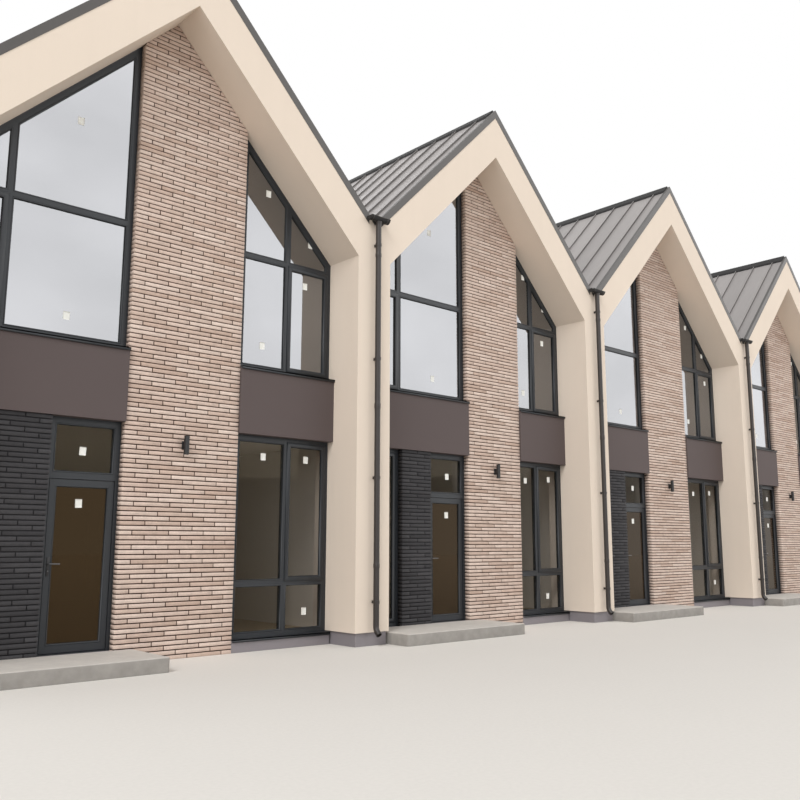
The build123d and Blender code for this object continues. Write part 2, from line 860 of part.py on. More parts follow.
def make_wall_lights():
    """Upright cylinder lights, each on a bracket in the middle of its pier."""
    with BuildPart() as wall_lights:
        for house in HOUSES:
            x = (house.pier_left + house.pier_right) / 2
            wall = span("front", 0, WALL_BAND)[0]
            y = wall - LIGHT_STANDOFF - LIGHT_DIAMETER / 2
            middle = LIGHT_TOP - LIGHT_LENGTH / 2
            with Locations((x, y, middle)):
                Cylinder(LIGHT_DIAMETER / 2, LIGHT_LENGTH)
            x_range = (x - LIGHT_BRACKET / 2, x + LIGHT_BRACKET / 2)
            block(x_range, (y, wall), (middle - LIGHT_BRACKET, middle + LIGHT_BRACKET))
    finish(wall_lights, "wall_lights")


def make_steps():
    """Concrete steps in front of the doors, back to the face of the wall band."""
    with BuildPart() as entrance_steps:
        for house in HOUSES:
            x_range = (house.bay_left + STEP_GAP, house.pier_left + STEP_PAST_PIER)
            y_range = (FRONT_Y - STEP_REACH, FRONT_Y + FRONT_REVEAL)
            block(x_range, y_range, (0, GROUND_SLAB))
    finish(entrance_steps, "entrance_steps")


def main():
    """Build every piece of the row and write it."""
    os.makedirs("parts", exist_ok=True)
    make_floors()
    make_walls()
    make_pilasters()
    for hand in ("left", "right"):
        make_rakes(hand)
        make_decks(hand)
        make_sheets(hand)
        make_verge_trims(hand)
    make_ridge_caps()
    make_valley_gutters()
    make_hoppers()
    make_downpipes()
    make_pipe_clips()
    make_piers()
    make_dark_panels()
    make_spandrels()
    make_bay_plinths()
    make_sills()
    make_frames(upper_windows(), "upper_frames")
    make_panes(upper_windows(), "upper_panes")
    make_frames(lower_windows(), "lower_frames")
    make_panes(lower_windows(), "lower_panes")
    make_door_frames()
    make_door_hinges()
    make_doors()
    make_wall_lights()
    make_steps()


main()
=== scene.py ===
"""The look of a terraced row of four gabled houses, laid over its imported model.

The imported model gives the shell, the roof, the frames and the doors at their real size. This script
dresses them: long bricks laid one by one, casement sashes and glazing beads, rainwater goods, wall
lights, door furniture, steps, and a procedural finish for every surface. All lengths are in metres in
the model's own frame: X along the row, Y from the street to the back, Z up, the ground at zero.
"""

from __future__ import annotations

import logging
import math
from dataclasses import dataclass, field
from enum import Enum
from typing import Any, Callable, Sequence, Union

import bpy
import numpy as np
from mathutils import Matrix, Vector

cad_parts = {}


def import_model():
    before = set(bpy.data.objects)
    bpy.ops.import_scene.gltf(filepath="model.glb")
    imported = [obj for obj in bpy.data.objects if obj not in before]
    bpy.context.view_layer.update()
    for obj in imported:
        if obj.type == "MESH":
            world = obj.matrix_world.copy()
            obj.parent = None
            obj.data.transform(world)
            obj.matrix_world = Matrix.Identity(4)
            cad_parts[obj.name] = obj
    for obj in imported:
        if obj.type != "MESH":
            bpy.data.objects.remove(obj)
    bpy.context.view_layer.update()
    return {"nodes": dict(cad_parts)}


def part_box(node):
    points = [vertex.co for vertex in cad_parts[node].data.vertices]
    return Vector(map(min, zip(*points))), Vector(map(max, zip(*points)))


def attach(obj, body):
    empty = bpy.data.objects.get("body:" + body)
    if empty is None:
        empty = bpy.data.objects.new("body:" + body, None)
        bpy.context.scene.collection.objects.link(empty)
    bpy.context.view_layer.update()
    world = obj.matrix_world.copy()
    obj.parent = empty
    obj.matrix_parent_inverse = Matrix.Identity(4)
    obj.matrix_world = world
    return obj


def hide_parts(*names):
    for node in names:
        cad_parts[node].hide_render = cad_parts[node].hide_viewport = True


LOG = logging.getLogger("house_row")
ROW_BODY = "row"
SEED = 20
PANEL_SEED = SEED + 100

Color = tuple[float, float, float]


class Slot(Enum):
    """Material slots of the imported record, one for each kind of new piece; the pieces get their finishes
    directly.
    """

    PLASTER = "inner_plaster"
    PIPE = "pipe_metal"
    LIGHT_BRICK = "light_brick"
    DARK_BRICK = "dark_brick"
    FRAME = "frame_metal"
    GLASS = "window_glass"
    BLACK = "black_metal"
    STEP = "step_concrete"


class Face(Enum):
    """The two long faces of the row; the value is the outward direction along Y."""

    FRONT = -1
    REAR = 1


def linear(red: int, green: int, blue: int) -> Color:
    """Scene-linear colour of an eight-bit display colour.

    Args:
        red: Red channel from 0 to 255.
        green: Green channel from 0 to 255.
        blue: Blue channel from 0 to 255.

    Returns:
        The colour by the display curve's inverse: a power of 2.4 above its short straight foot.
    """
    display = np.array([red, green, blue]) / 255
    curved = np.where(display <= 0.04045, display / 12.92, ((display + 0.055) / 1.055) ** 2.4)
    return tuple(float(channel) for channel in curved)


class Socket:
    """A node's output that can stand in a Python expression on values."""

    def __init__(self, graph: "Graph", link: bpy.types.NodeSocket) -> None:
        """Keep the graph that the socket belongs to, and the socket itself."""
        self.graph = graph
        self.link = link

    def _math(self, operation: str, first: Any, second: Any) -> "Socket":
        """Add one Math node for two values, in their order."""
        return self.graph.node("ShaderNodeMath", {"operation": operation}, {0: first, 1: second})

    def __add__(self, other: Any) -> "Socket":
        """The sum of this value and another."""
        return self._math("ADD", self, other)

    def __radd__(self, other: Any) -> "Socket":
        """The sum of a number and this value."""
        return self._math("ADD", other, self)

    def __sub__(self, other: Any) -> "Socket":
        """This value less another."""
        return self._math("SUBTRACT", self, other)

    def __rsub__(self, other: Any) -> "Socket":
        """A number less this value."""
        return self._math("SUBTRACT", other, self)

    def __mul__(self, other: Any) -> "Socket":
        """The product of this value and another."""
        return self._math("MULTIPLY", self, other)

    def __rmul__(self, other: Any) -> "Socket":
        """The product of a number and this value."""
        return self._math("MULTIPLY", other, self)

    def __truediv__(self, other: Any) -> "Socket":
        """This value divided by another."""
        return self._math("DIVIDE", self, other)

    def __rtruediv__(self, other: Any) -> "Socket":
        """A number divided by this value."""
        return self._math("DIVIDE", other, self)


class Graph:
    """A node tree that is being filled, for a material or the world."""

    def __init__(self, owner: Union[bpy.types.Material, bpy.types.World]) -> None:
        """Start a node tree afresh.

        Args:
            owner: The material or the world that the tree belongs to.
        """
        owner.use_nodes = True
        self.tree = owner.node_tree
        self.tree.nodes.clear()

    def node(
        self,
        kind: str,
        settings: dict[str, Any] | None = None,
        sockets: dict[Union[str, int], Any] | None = None,
        output: Union[str, int] = 0,
    ) -> Socket:
        """Add any node.

        Args:
            kind: The node's type name.
            settings: Values of its properties, set first; "stops" holds a ramp's places and colours.
            sockets: Values or links of its inputs, by name or number.
            output: The output to hand back, by name or number.

        Returns:
            The output, ready for expressions and links.
        """
        made = self.tree.nodes.new(kind)
        for name, value in (settings or {}).items():
            if name == "stops":
                self._set_stops(made.color_ramp, value)
            else:
                setattr(made, name, value)
        for name, value in (sockets or {}).items():
            self._feed(made.inputs[name], value)
        return Socket(self, made.outputs[output])

    def _set_stops(self, ramp: bpy.types.ColorRamp, stops: Sequence[tuple[float, Color]]) -> None:
        """Give a colour ramp its stops, in order.

        Args:
            ramp: The ramp of a node.
            stops: Place and colour of each stop.
        """
        while len(ramp.elements) < len(stops):
            ramp.elements.new(1.0)
        for element, (place, color) in zip(ramp.elements, stops):
            element.position = place
            element.color = (*color, 1.0)

    def _feed(self, socket: bpy.types.NodeSocket, value: Any) -> None:
        """Link or set one input.

        Args:
            socket: The input.
            value: An output to link, or a number, colour or vector to set.
        """
        if isinstance(value, Socket):
            self.tree.links.new(value.link, socket)
        elif socket.type == "RGBA":
            socket.default_value = (*value, 1.0)
        else:
            socket.default_value = value

    def place(self, stretch: Color = (1.0, 1.0, 1.0)) -> Socket:
        """Object coordinates, stretched along each axis."""
        here = self.node("ShaderNodeTexCoord", output="Object")
        return self.node("ShaderNodeMapping", {}, {"Vector": here, "Scale": stretch})

    def axis(self, kind: str, output: str, name: str) -> Socket:
        """One axis of a vector from an input node, such as the place or the surface's normal."""
        return self.node("ShaderNodeSeparateXYZ", {}, {0: self.node(kind, output=output)}, name)

    def noise(self, scale: float, detail: float = 3.0, stretch: Color = (1.0, 1.0, 1.0)) -> Socket:
        """Noise from 0 to 1 over the piece, with so many cells to the metre."""
        sockets = {"Vector": self.place(stretch), "Scale": scale, "Detail": detail}
        return self.node("ShaderNodeTexNoise", {}, sockets)

    def shade(self, color: Any, amount: Any) -> Socket:
        """A colour made lighter or darker by a factor that varies about 1."""
        settings = {"operation": "SCALE"}
        return self.node("ShaderNodeVectorMath", settings, {0: color, "Scale": amount})

    def bump(self, height: Socket, distance: float, strength: float = 1.0) -> Socket:
        """A normal tilted by a height, which spans a distance in metres."""
        sockets = {"Height": height, "Distance": distance, "Strength": strength}
        return self.node("ShaderNodeBump", {}, sockets)

    def close(self, sockets: dict[str, Any]) -> None:
        """Finish a material with one Principled shader."""
        shader = self.node("ShaderNodeBsdfPrincipled", {}, sockets)
        self.node_output("ShaderNodeOutputMaterial", shader)

    def node_output(self, kind: str, shader: Socket) -> None:
        """Add the output node and link its surface."""
        last = self.tree.nodes.new(kind)
        self.tree.links.new(shader.link, last.inputs["Surface"])


@dataclass(frozen=True)
class Finish:
    """A finish of one kind of surface; each kind fills its own graph.

    Attributes:
        name: The material's name.
        color: Scene-linear base colour.
        roughness: Roughness of the surface.
    """

    name: str
    color: Color
    roughness: float

    def fill(self, graph: Graph) -> None:
        """Fill the material's graph; every kind of finish has its own."""
        raise NotImplementedError

    def material(self) -> bpy.types.Material:
        """Find the material of this finish, or make it the first time.

        Returns:
            The one Blender material of this finish.
        """
        known = bpy.data.materials.get(self.name)
        if known is not None:
            return known
        made = bpy.data.materials.new(self.name)
        self.fill(Graph(made))
        return made


@dataclass(frozen=True)
class MineralFinish(Finish):
    """Trowelled render, plaster or cast concrete: fine grain over soft cloudy patches.

    Attributes:
        grain: Cells of the grain to the metre.
        relief: Depth of the grain in metres.
        cloud: How far the patches lighten and darken the colour.
        streak: How far rain marks that run down darken the colour.
        mottle: How far blotches of about a hand's width lighten and darken the colour.
        pores: Depth in metres of scattered small holes, or 0 for none.
        painted_top_light: How much lighter the faces that look up are, a painted light for the brighter
            light that falls on them.
    """

    grain: float = 260.0
    relief: float = 0.0008
    cloud: float = 0.06
    streak: float = 0.0
    mottle: float = 0.0
    pores: float = 0.0
    painted_top_light: float = 0.0

    def fill(self, graph: Graph) -> None:
        """Patches and rain marks in the colour, painted light on the faces that look up, grain and pores in
        the relief.

        Args:
            graph: The material's graph.
        """
        patches = graph.noise(0.9, 4.0) * self.cloud + (1.0 - self.cloud / 2)
        marks = graph.noise(3.0, 3.0, (2.5, 2.5, 0.12)) * self.streak
        speckle = graph.noise(self.grain * 0.7, 2.0) * 0.08 - 0.04
        tone = patches - marks + self.streak / 2 + speckle
        if self.mottle:
            tone = tone + graph.noise(9.0, 5.0) * self.mottle - self.mottle / 2
        # Painted light: faces that look up are made lighter by how far their normal rises.
        if self.painted_top_light:
            upward = graph.axis("ShaderNodeNewGeometry", "Normal", "Z")
            tone = tone + upward * self.painted_top_light
        grain = graph.noise(self.grain, 4.0)
        normal = graph.bump(grain, self.relief)
        if self.pores:
            cells = graph.node(
                "ShaderNodeTexVoronoi", {"feature": "F1"},
                {"Vector": graph.place(), "Scale": 38.0}, "Distance",
            )
            settings = {"stops": [(0.0, (0.0, 0.0, 0.0)), (0.16, (1.0, 1.0, 1.0))]}
            pits = graph.node("ShaderNodeValToRGB", settings, {0: cells})
            sockets = {"Height": pits, "Distance": self.pores, "Strength": 1.0, "Normal": normal}
            normal = graph.node("ShaderNodeBump", {}, sockets)
        graph.close({
            "Base Color": graph.shade(self.color, tone),
            "Roughness": self.roughness,
            "Specular IOR Level": 0.25,
            "Normal": normal,
        })


@dataclass(frozen=True)
class BrickFinish(Finish):
    """Long fired bricks, each with its own tone, dragged lengthwise by the wire.

    Attributes:
        pale: Colour of the palest bricks.
        warm: Colour of the warmest bricks.
    """

    pale: Color
    warm: Color

    def fill(self, graph: Graph) -> None:
        """Brick tones from the piece's own attribute, drag marks along X, and a sandy relief.

        Args:
            graph: The material's graph.
        """
        tone = graph.node("ShaderNodeAttribute", {"attribute_name": "tone"}, {}, "Fac")
        stops = [(0.0, self.warm), (0.45, self.color), (1.0, self.pale)]
        base = graph.node("ShaderNodeValToRGB", {"stops": stops}, {0: tone})
        drag = graph.noise(16.0, 5.0, (0.4, 1.0, 8.0))
        blotch = graph.noise(11.0, 4.0)
        specks = graph.noise(75.0, 3.0, (0.6, 1.0, 1.0))
        shadow = drag * 0.42 + blotch * 0.36 + specks * 0.42 + 0.4
        surface = graph.shade(base, shadow)
        sand = graph.noise(420.0, 3.0)
        relief = drag * 0.7 + sand * 0.3
        graph.close({
            "Base Color": surface,
            "Roughness": graph.noise(30.0) * 0.14 + (self.roughness - 0.07),
            "Specular IOR Level": 0.25,
            "Normal": graph.bump(relief, 0.0022),
        })


@dataclass(frozen=True)
class SheetFinish(Finish):
    """Coated roof sheet in trays, each a little lighter or darker, with long soft waves.

    Attributes:
        first_seam: Y place of the first standing seam.
        pitch: Distance from seam to seam.
        painted_seam_shade: How far the sides of the seams are darkened, a painted shade for the shadow on
            them.
    """

    first_seam: float
    pitch: float
    painted_seam_shade: float = 0.5

    def fill(self, graph: Graph) -> None:
        """Tray tone from the tray's number, water marks down the slope, painted shade on the sides of the
        seams, soft buckles in the relief.

        Args:
            graph: The material's graph.
        """
        along = graph.axis("ShaderNodeTexCoord", "Object", "Y")
        number = (along - self.first_seam) / self.pitch
        tray = graph.node("ShaderNodeMath", {"operation": "FLOOR"}, {0: number})
        chance = graph.node("ShaderNodeTexWhiteNoise", {"noise_dimensions": "1D"}, {"W": tray})
        marks = graph.noise(7.0, 4.0, (0.25, 2.0, 0.25))
        dust = graph.noise(1.3, 4.0)
        # Painted shade: faces that look along Y, the sides of the standing seams, are darkened by how far
        # they turn sideways.
        sideways = graph.axis("ShaderNodeNewGeometry", "Normal", "Y")
        painted_seam_shade = graph.node("ShaderNodeMath", {"operation": "ABSOLUTE"}, {0: sideways}) * self.painted_seam_shade
        tone = (chance * 0.16 + marks * 0.22 + dust * 0.12 + 0.75) * (1.0 - painted_seam_shade)
        buckles = graph.noise(1.9, 1.0, (1.0, 2.2, 1.0))
        peel = graph.noise(600.0, 2.0) * 0.012
        graph.close({
            "Base Color": graph.shade(self.color, tone),
            "Metallic": 0.25,
            "Roughness": marks * 0.14 + (self.roughness - 0.07),
            "Normal": graph.bump(buckles + peel, 0.012, 0.5),
        })


@dataclass(frozen=True)
class CoatedFinish(Finish):
    """Powder coat on aluminium or steel: fine orange peel, faint dust and rubbed patches.

    Attributes:
        dust: How much settled dust lightens the coat.
        peel: Depth of the orange peel in metres.
    """

    dust: float = 0.18
    peel: float = 0.0002

    def fill(self, graph: Graph) -> None:
        """Dust in broad patches, roughness that follows it, and orange peel in the relief.

        Args:
            graph: The material's graph.
        """
        patches = graph.noise(2.6, 5.0)
        smears = graph.noise(11.0, 3.0, (1.0, 1.0, 0.3))
        tone = patches * self.dust + smears * self.dust * 0.6 + (1.0 - 0.8 * self.dust)
        graph.close({
            "Base Color": graph.shade(self.color, tone),
            "Roughness": patches * 0.16 + (self.roughness - 0.08),
            "Specular IOR Level": 0.4,
            "Normal": graph.bump(graph.noise(900.0, 2.0), self.peel),
        })


@dataclass(frozen=True)
class GlassFinish(Finish):
    """Coated double glazing: a tinted see-through body under a strong mirror.

    Attributes:
        density: How much of what lies behind is held back.
        index: Index that sets the strength of the mirror.
        cloud: How far the pane's opacity, and with it the strength of its mirror, changes in broad soft
            patches; a painted reflection of soft clouds.
        rear: How much more is held back in the rear panes.
        mirror: Tint of what the glass mirrors.
    """

    density: float
    index: float
    cloud: float = 0.0
    rear: float = 0.0
    mirror: Color = (1.0, 1.0, 1.0)

    def fill(self, graph: Graph) -> None:
        """A faint film of dust in the roughness, a painted reflection of clouds in the opacity's patches,
        and slow waves in the pane.

        Args:
            graph: The material's graph.
        """
        film = graph.noise(1.7, 4.0)
        patches = graph.noise(0.42, 3.0, (1.0, 1.0, 1.7))
        waves = graph.noise(0.55, 1.0)
        along = graph.axis("ShaderNodeTexCoord", "Object", "Y")
        # Painted shade: where rear is set, the panes on the rear side are made opaque and dark.
        behind = graph.node("ShaderNodeMath", {"operation": "GREATER_THAN"}, {0: along, 1: 0.0})
        # Painted reflection: broad patches in the opacity make the mirror stronger and weaker, like clouds
        # in the reflected sky.
        held = patches * (2 * self.cloud) + (self.density - self.cloud)
        graph.close({
            "Base Color": self.color,
            "Roughness": film * 0.03 + self.roughness,
            "IOR": self.index,
            "Specular Tint": self.mirror,
            "Alpha": held + behind * self.rear,
            "Normal": graph.bump(waves, 0.006, 0.35),
        })


@dataclass(frozen=True)
class PaperFinish(Finish):
    """Blank matt paper stuck on the panes."""

    def fill(self, graph: Graph) -> None:
        """A faint fibre in the colour and the relief.

        Args:
            graph: The material's graph.
        """
        fibre = graph.noise(500.0, 3.0, (1.0, 1.0, 0.4))
        graph.close({
            "Base Color": graph.shade(self.color, fibre * 0.08 + 0.96),
            "Roughness": self.roughness,
            "Normal": graph.bump(fibre, 0.0001),
        })


@dataclass(frozen=True)
class Finishes:
    """Every finish of the row, named for what it covers, with colours as written in daylight."""

    roof: Finish
    render: Finish = MineralFinish("cream_render", linear(223, 209, 194), 0.9, cloud=0.05, streak=0.03)
    plaster: Finish = MineralFinish("inner_plaster", linear(226, 200, 164), 0.9, relief=0.0003)
    plinth: Finish = MineralFinish("dark_plinth", linear(84, 80, 82), 0.8, grain=180.0)
    ceiling: Finish = MineralFinish("ceiling_lining", linear(214, 206, 194), 0.85, relief=0.0002)
    concrete: Finish = MineralFinish("floor_concrete", linear(186, 168, 142), 0.85, grain=120.0)
    step: Finish = MineralFinish(
        "cast_step", linear(146, 142, 137), 0.85,
        grain=150.0, cloud=0.14, mottle=0.5, pores=0.0016, painted_top_light=1.1,
    )
    light_brick: Finish = BrickFinish(
        "pale_long_brick", linear(202, 181, 168), 0.88,
        pale=linear(216, 198, 186), warm=linear(186, 162, 147),
    )
    dark_brick: Finish = BrickFinish(
        "charcoal_long_brick", linear(61, 60, 62), 0.8,
        pale=linear(70, 69, 71), warm=linear(52, 51, 53),
    )
    light_mortar: Finish = MineralFinish("recessed_mortar", linear(58, 39, 31), 0.95, grain=320.0)
    dark_mortar: Finish = MineralFinish("dark_mortar", linear(46, 45, 47), 0.95, grain=320.0)
    spandrel: Finish = MineralFinish(
        "spandrel_render", linear(88, 78, 77), 0.72, grain=300.0, relief=0.0003, cloud=0.1
    )
    trim: Finish = CoatedFinish("folded_trim", linear(78, 75, 73), 0.45, dust=0.22)
    ridge: Finish = CoatedFinish("ridge_coat", linear(32, 31, 31), 0.75, dust=0.2)
    pipe: Finish = CoatedFinish("pipe_coat", linear(48, 43, 41), 0.4, dust=0.25)
    frame: Finish = CoatedFinish("anthracite_coat", linear(39, 42, 46), 0.42)
    gasket: Finish = CoatedFinish("black_gasket", linear(24, 25, 27), 0.6, dust=0.1, peel=0.0001)
    black: Finish = CoatedFinish("black_coat", linear(34, 33, 34), 0.42)
    handle: Finish = CoatedFinish("brushed_handle", linear(92, 92, 94), 0.3, dust=0.1)
    lens: Finish = PaperFinish("frosted_lens", linear(214, 212, 204), 0.5)
    sky_glass: Finish = GlassFinish(
        "coated_upper_glass", linear(26, 28, 26), 0.01,
        density=0.92, index=3.2, cloud=0.22, mirror=linear(250, 251, 255),
    )
    room_glass: Finish = GlassFinish(
        "clear_lower_glass", linear(40, 36, 29), 0.01,
        density=0.2, index=1.6, rear=0.8, mirror=linear(232, 214, 182),
    )
    door_glass: Finish = GlassFinish(
        "tinted_door_glass", linear(20, 16, 9), 0.01,
        density=0.86, index=1.66, mirror=linear(236, 196, 148),
    )
    paper: Finish = PaperFinish("blank_paper", linear(232, 232, 226), 0.8)


@dataclass
class Shape:
    """A mesh in arrays: points, and faces grouped by their number of corners.

    Attributes:
        points: Point places, one row each.
        faces: Arrays of corner numbers, one row for each face.
        tone: A value from 0 to 1 for each point, where the finish reads one.
    """

    points: np.ndarray
    faces: list[np.ndarray]
    tone: np.ndarray | None = None

    def flipped(self) -> "Shape":
        """The same shape with its faces turned round."""
        return Shape(self.points, [group[:, ::-1] for group in self.faces], self.tone)

    def moved(self, offset: Sequence[float]) -> "Shape":
        """The same shape in another place."""
        return Shape(self.points + np.asarray(offset, float), self.faces, self.tone)

    def mirrored_y(self, middle: float) -> "Shape":
        """The shape seen in a mirror across a plane of constant Y, with its faces outward again."""
        points = self.points * (1.0, -1.0, 1.0) + (0.0, 2 * middle, 0.0)
        return Shape(points, self.faces, self.tone).flipped()


def joined(shapes: Sequence[Shape]) -> Shape:
    """Several shapes as one.

    Args:
        shapes: The shapes, all with a tone or all without one.

    Returns:
        Their points one after the other, with corner numbers moved on to match.
    """
    starts = np.cumsum([0] + [len(shape.points) for shape in shapes[:-1]])
    faces = [group + start for shape, start in zip(shapes, starts) for group in shape.faces]
    tones = [shape.tone for shape in shapes if shape.tone is not None]
    points = np.concatenate([shape.points for shape in shapes])
    return Shape(points, faces, np.concatenate(tones) if tones else None)


def grid_faces(rows: int, columns: int, close_rows: bool, close_columns: bool) -> np.ndarray:
    """Corner numbers of a grid of points that is stored row by row.

    Args:
        rows: Number of rows.
        columns: Number of points in a row.
        close_rows: Whether the last row meets the first.
        close_columns: Whether each row runs round to its start.

    Returns:
        Quads (r, c), (r, c + 1), (r + 1, c + 1), (r + 1, c), counted round where the grid closes.
    """
    row, column = np.meshgrid(
        np.arange(rows if close_rows else rows - 1),
        np.arange(columns if close_columns else columns - 1),
        indexing="ij",
    )
    row, column = row.ravel(), column.ravel()
    next_row, next_column = (row + 1) % rows, (column + 1) % columns
    corners = [
        row * columns + column,
        row * columns + next_column,
        next_row * columns + next_column,
        next_row * columns + column,
    ]
    return np.stack(corners, axis=1)


def solid(rings: np.ndarray) -> Shape:
    """A solid through rings of points.

    Args:
        rings: Point places by ring and by place in the ring, each ring counted round to the left as
            seen from the last one.

    Returns:
        A quad between neighbours, and the first and last ring as one face each.
    """
    rows, around = rings.shape[:2]
    caps = np.stack([np.arange(around)[::-1], np.arange(around) + (rows - 1) * around])
    return Shape(rings.reshape(-1, 3), [grid_faces(rows, around, False, True), caps])


def prism(outline: np.ndarray, low_y: float, high_y: float) -> Shape:
    """A solid carried along Y.

    Args:
        outline: Corners in X and Z, counted round to the left as seen from the front.
        low_y: Place of the front cap.
        high_y: Place of the rear cap.

    Returns:
        Both caps as one face each, and a quad along each side.
    """
    front = np.column_stack([outline[:, 0], np.full(len(outline), low_y), outline[:, 1]])
    return solid(np.stack([front, front + (0.0, high_y - low_y, 0.0)])).flipped()


def bar_along_x(profile: np.ndarray, low_x: float, high_x: float) -> Shape:
    """A solid carried along X.

    Args:
        profile: Corners in Y and Z, counted round to the left as seen from the high end.
        low_x: Place of the low end.
        high_x: Place of the high end.

    Returns:
        Both ends as one face each, and a quad along each side.
    """
    low = np.column_stack([np.full(len(profile), low_x), profile])
    return solid(np.stack([low, low + (high_x - low_x, 0.0, 0.0)]))


def box_outline(low_x: float, high_x: float, low_z: float, high_z: float) -> np.ndarray:
    """Corners of an upright rectangle, counted round to the left as seen from the front."""
    return np.array([(low_x, low_z), (high_x, low_z), (high_x, high_z), (low_x, high_z)])


def mitres(outline: np.ndarray) -> np.ndarray:
    """Steps by which the corners of a convex outline move when its edges move in by one metre.

    Args:
        outline: Corners, counted round to the left.

    Returns:
        (n1 + n2) / (1 + n1 . n2) at each corner, with the inward normals of the edges that meet there.
    """
    edge = np.roll(outline, -1, axis=0) - outline
    edge /= np.linalg.norm(edge, axis=1, keepdims=True)
    normal = np.column_stack([-edge[:, 1], edge[:, 0]])
    before = np.roll(normal, 1, axis=0)
    return (normal + before) / (1 + np.sum(normal * before, axis=1, keepdims=True))


def mitred_ring(outline: np.ndarray, profile: np.ndarray, face_y: float, outward: int) -> Shape:
    """A frame of constant section, mitred round a convex outline.

    A point of the section at inset d goes to corner + d * mitre of that corner.

    Args:
        outline: Corners in X and Z, counted round to the left as seen from the front.
        profile: Closed section as pairs of inset and depth, counted from the outer edge over the face.
        face_y: Y place of depth zero.
        outward: Outward direction along Y, -1 or 1.

    Returns:
        A closed ring with one row of section points for each corner.
    """
    profile = profile[::-1]
    plane = outline[:, None, :] + mitres(outline)[:, None, :] * profile[None, :, :1]
    depth = np.broadcast_to(face_y - outward * profile[:, 1], plane.shape[:2])
    points = np.stack([plane[..., 0], depth, plane[..., 1]], axis=-1).reshape(-1, 3)
    shape = Shape(points, [grid_faces(len(outline), len(profile), True, True)])
    return shape if outward < 0 else shape.flipped()


def clipped(outline: np.ndarray, normal: tuple[float, float], limit: float) -> np.ndarray:
    """The part of a convex outline where normal . point is at least a limit.

    Args:
        outline: Corners, counted round to the left.
        normal: Direction of the half plane's inside.
        limit: Least value of the product.

    Returns:
        Corners inside, and the points limit - s / (next - s) along each edge that crosses.
    """
    side = outline @ np.asarray(normal, float) - limit
    following = np.roll(outline, -1, axis=0)
    next_side = np.roll(side, -1)
    step = np.where(side == next_side, 1.0, side - next_side)
    crossing = outline + (side / step)[:, None] * (following - outline)
    kept = np.where((side >= 0)[:, None], outline, np.nan)
    crossed = np.where((side * next_side < 0)[:, None], crossing, np.nan)
    both = np.stack([kept, crossed], axis=1).reshape(-1, 2)
    return both[~np.isnan(both[:, 0])]


def inset(outline: np.ndarray, amount: float) -> np.ndarray:
    """A convex outline with every edge moved inwards.

    Args:
        outline: Corners, counted round to the left.
        amount: Distance by which the edges move.

    Returns:
        The outline clipped by each of its own edges' half planes, moved in.
    """
    result = outline
    edges = np.roll(outline, -1, axis=0) - outline
    normals = np.column_stack([-edges[:, 1], edges[:, 0]]) / np.hypot(*edges.T)[:, None]
    for normal, corner in zip(normals, outline):
        result = clipped(result, tuple(normal), float(normal @ corner) + amount)
    return result


def lathe(profile: np.ndarray, centre: Sequence[float], sides: int) -> Shape:
    """A profile turned about an upright axis.

    Each point (r, z) becomes centre + (r cos t, r sin t, z) for turns t round the axis. Rows with r
    zero close the ends.

    Args:
        profile: Pairs of radius and height, from the lower pole to the upper one.
        centre: Place of the axis' foot.
        sides: Number of turns.

    Returns:
        A closed surface; its poles are fans of triangles.
    """
    turn = np.linspace(0.0, 2 * math.pi, sides, endpoint=False)
    inner = profile[1:-1]
    radius, height = inner[:, :1], inner[:, 1:]
    wide = radius * np.ones_like(turn)
    grid = np.stack([wide * np.cos(turn), wide * np.sin(turn), height * np.ones_like(turn)], -1)
    low, high = (0.0, 0.0, profile[0, 1]), (0.0, 0.0, profile[-1, 1])
    points = np.concatenate([grid.reshape(-1, 3), [low, high]]) + np.asarray(centre, float)
    rows = len(inner)
    around = np.arange(sides)
    after = (around + 1) % sides
    foot, top = rows * sides, rows * sides + 1
    last = (rows - 1) * sides
    lower = np.column_stack([np.full(sides, foot), after, around])
    upper = np.column_stack([np.full(sides, top), last + around, last + after])
    return Shape(points, [grid_faces(rows, sides, False, True), lower, upper])


def wheels(ahead: np.ndarray, sides: int) -> np.ndarray:
    """Unit circles square to directions.

    A circle's point is cos t a + sin t b, where a is square to the direction and to X, or to Z where
    the direction is near X, and b is square to both.

    Args:
        ahead: Directions of length 1, one row each.
        sides: Number of points in a circle.

    Returns:
        One circle of points for each direction.
    """
    guide = np.where(np.abs(ahead[:, :1]) < 0.9, [[1.0, 0.0, 0.0]], [[0.0, 0.0, 1.0]])
    first = np.cross(ahead, guide)
    first /= np.linalg.norm(first, axis=1, keepdims=True)
    second = np.cross(ahead, first)
    turn = np.linspace(0.0, 2 * math.pi, sides, endpoint=False)[:, None]
    return np.cos(turn) * first[:, None, :] + np.sin(turn) * second[:, None, :]


def tube(path: np.ndarray, radius: np.ndarray, sides: int) -> Shape:
    """A round tube along a path: a ring's point is path + r times its wheel's point.

    Args:
        path: Points along the axis.
        radius: Radius at each point.
        sides: Number of points in a ring.

    Returns:
        The wall, closed by one face at each end.
    """
    ahead = np.gradient(path, axis=0)
    lengths = np.linalg.norm(ahead, axis=1, keepdims=True)
    ahead = ahead / np.where(lengths < 1e-9, 1.0, lengths)
    return solid(path[:, None, :] + radius[:, None, None] * wheels(ahead, sides))


def rounded_path(corners: np.ndarray, radius: float, steps: int = 8) -> np.ndarray:
    """A path with round bends.

    Args:
        corners: The path's corners, first and last kept as they are.
        radius: Distance before and after a corner at which its bend starts and ends.
        steps: Points in each bend.

    Returns:
        Each inner corner replaced by the curve (1 - t)^2 p + 2 t (1 - t) corner + t^2 q.
    """
    before = corners[:-2] - corners[1:-1]
    after = corners[2:] - corners[1:-1]
    start = corners[1:-1] + radius * before / np.linalg.norm(before, axis=1, keepdims=True)
    end = corners[1:-1] + radius * after / np.linalg.norm(after, axis=1, keepdims=True)
    share = np.linspace(0.0, 1.0, steps)[None, :, None]
    bend = (
        (1 - share) ** 2 * start[:, None, :]
        + 2 * share * (1 - share) * corners[1:-1][:, None, :]
        + share**2 * end[:, None, :]
    )
    return np.concatenate([corners[:1], bend.reshape(-1, 3), corners[-1:]])


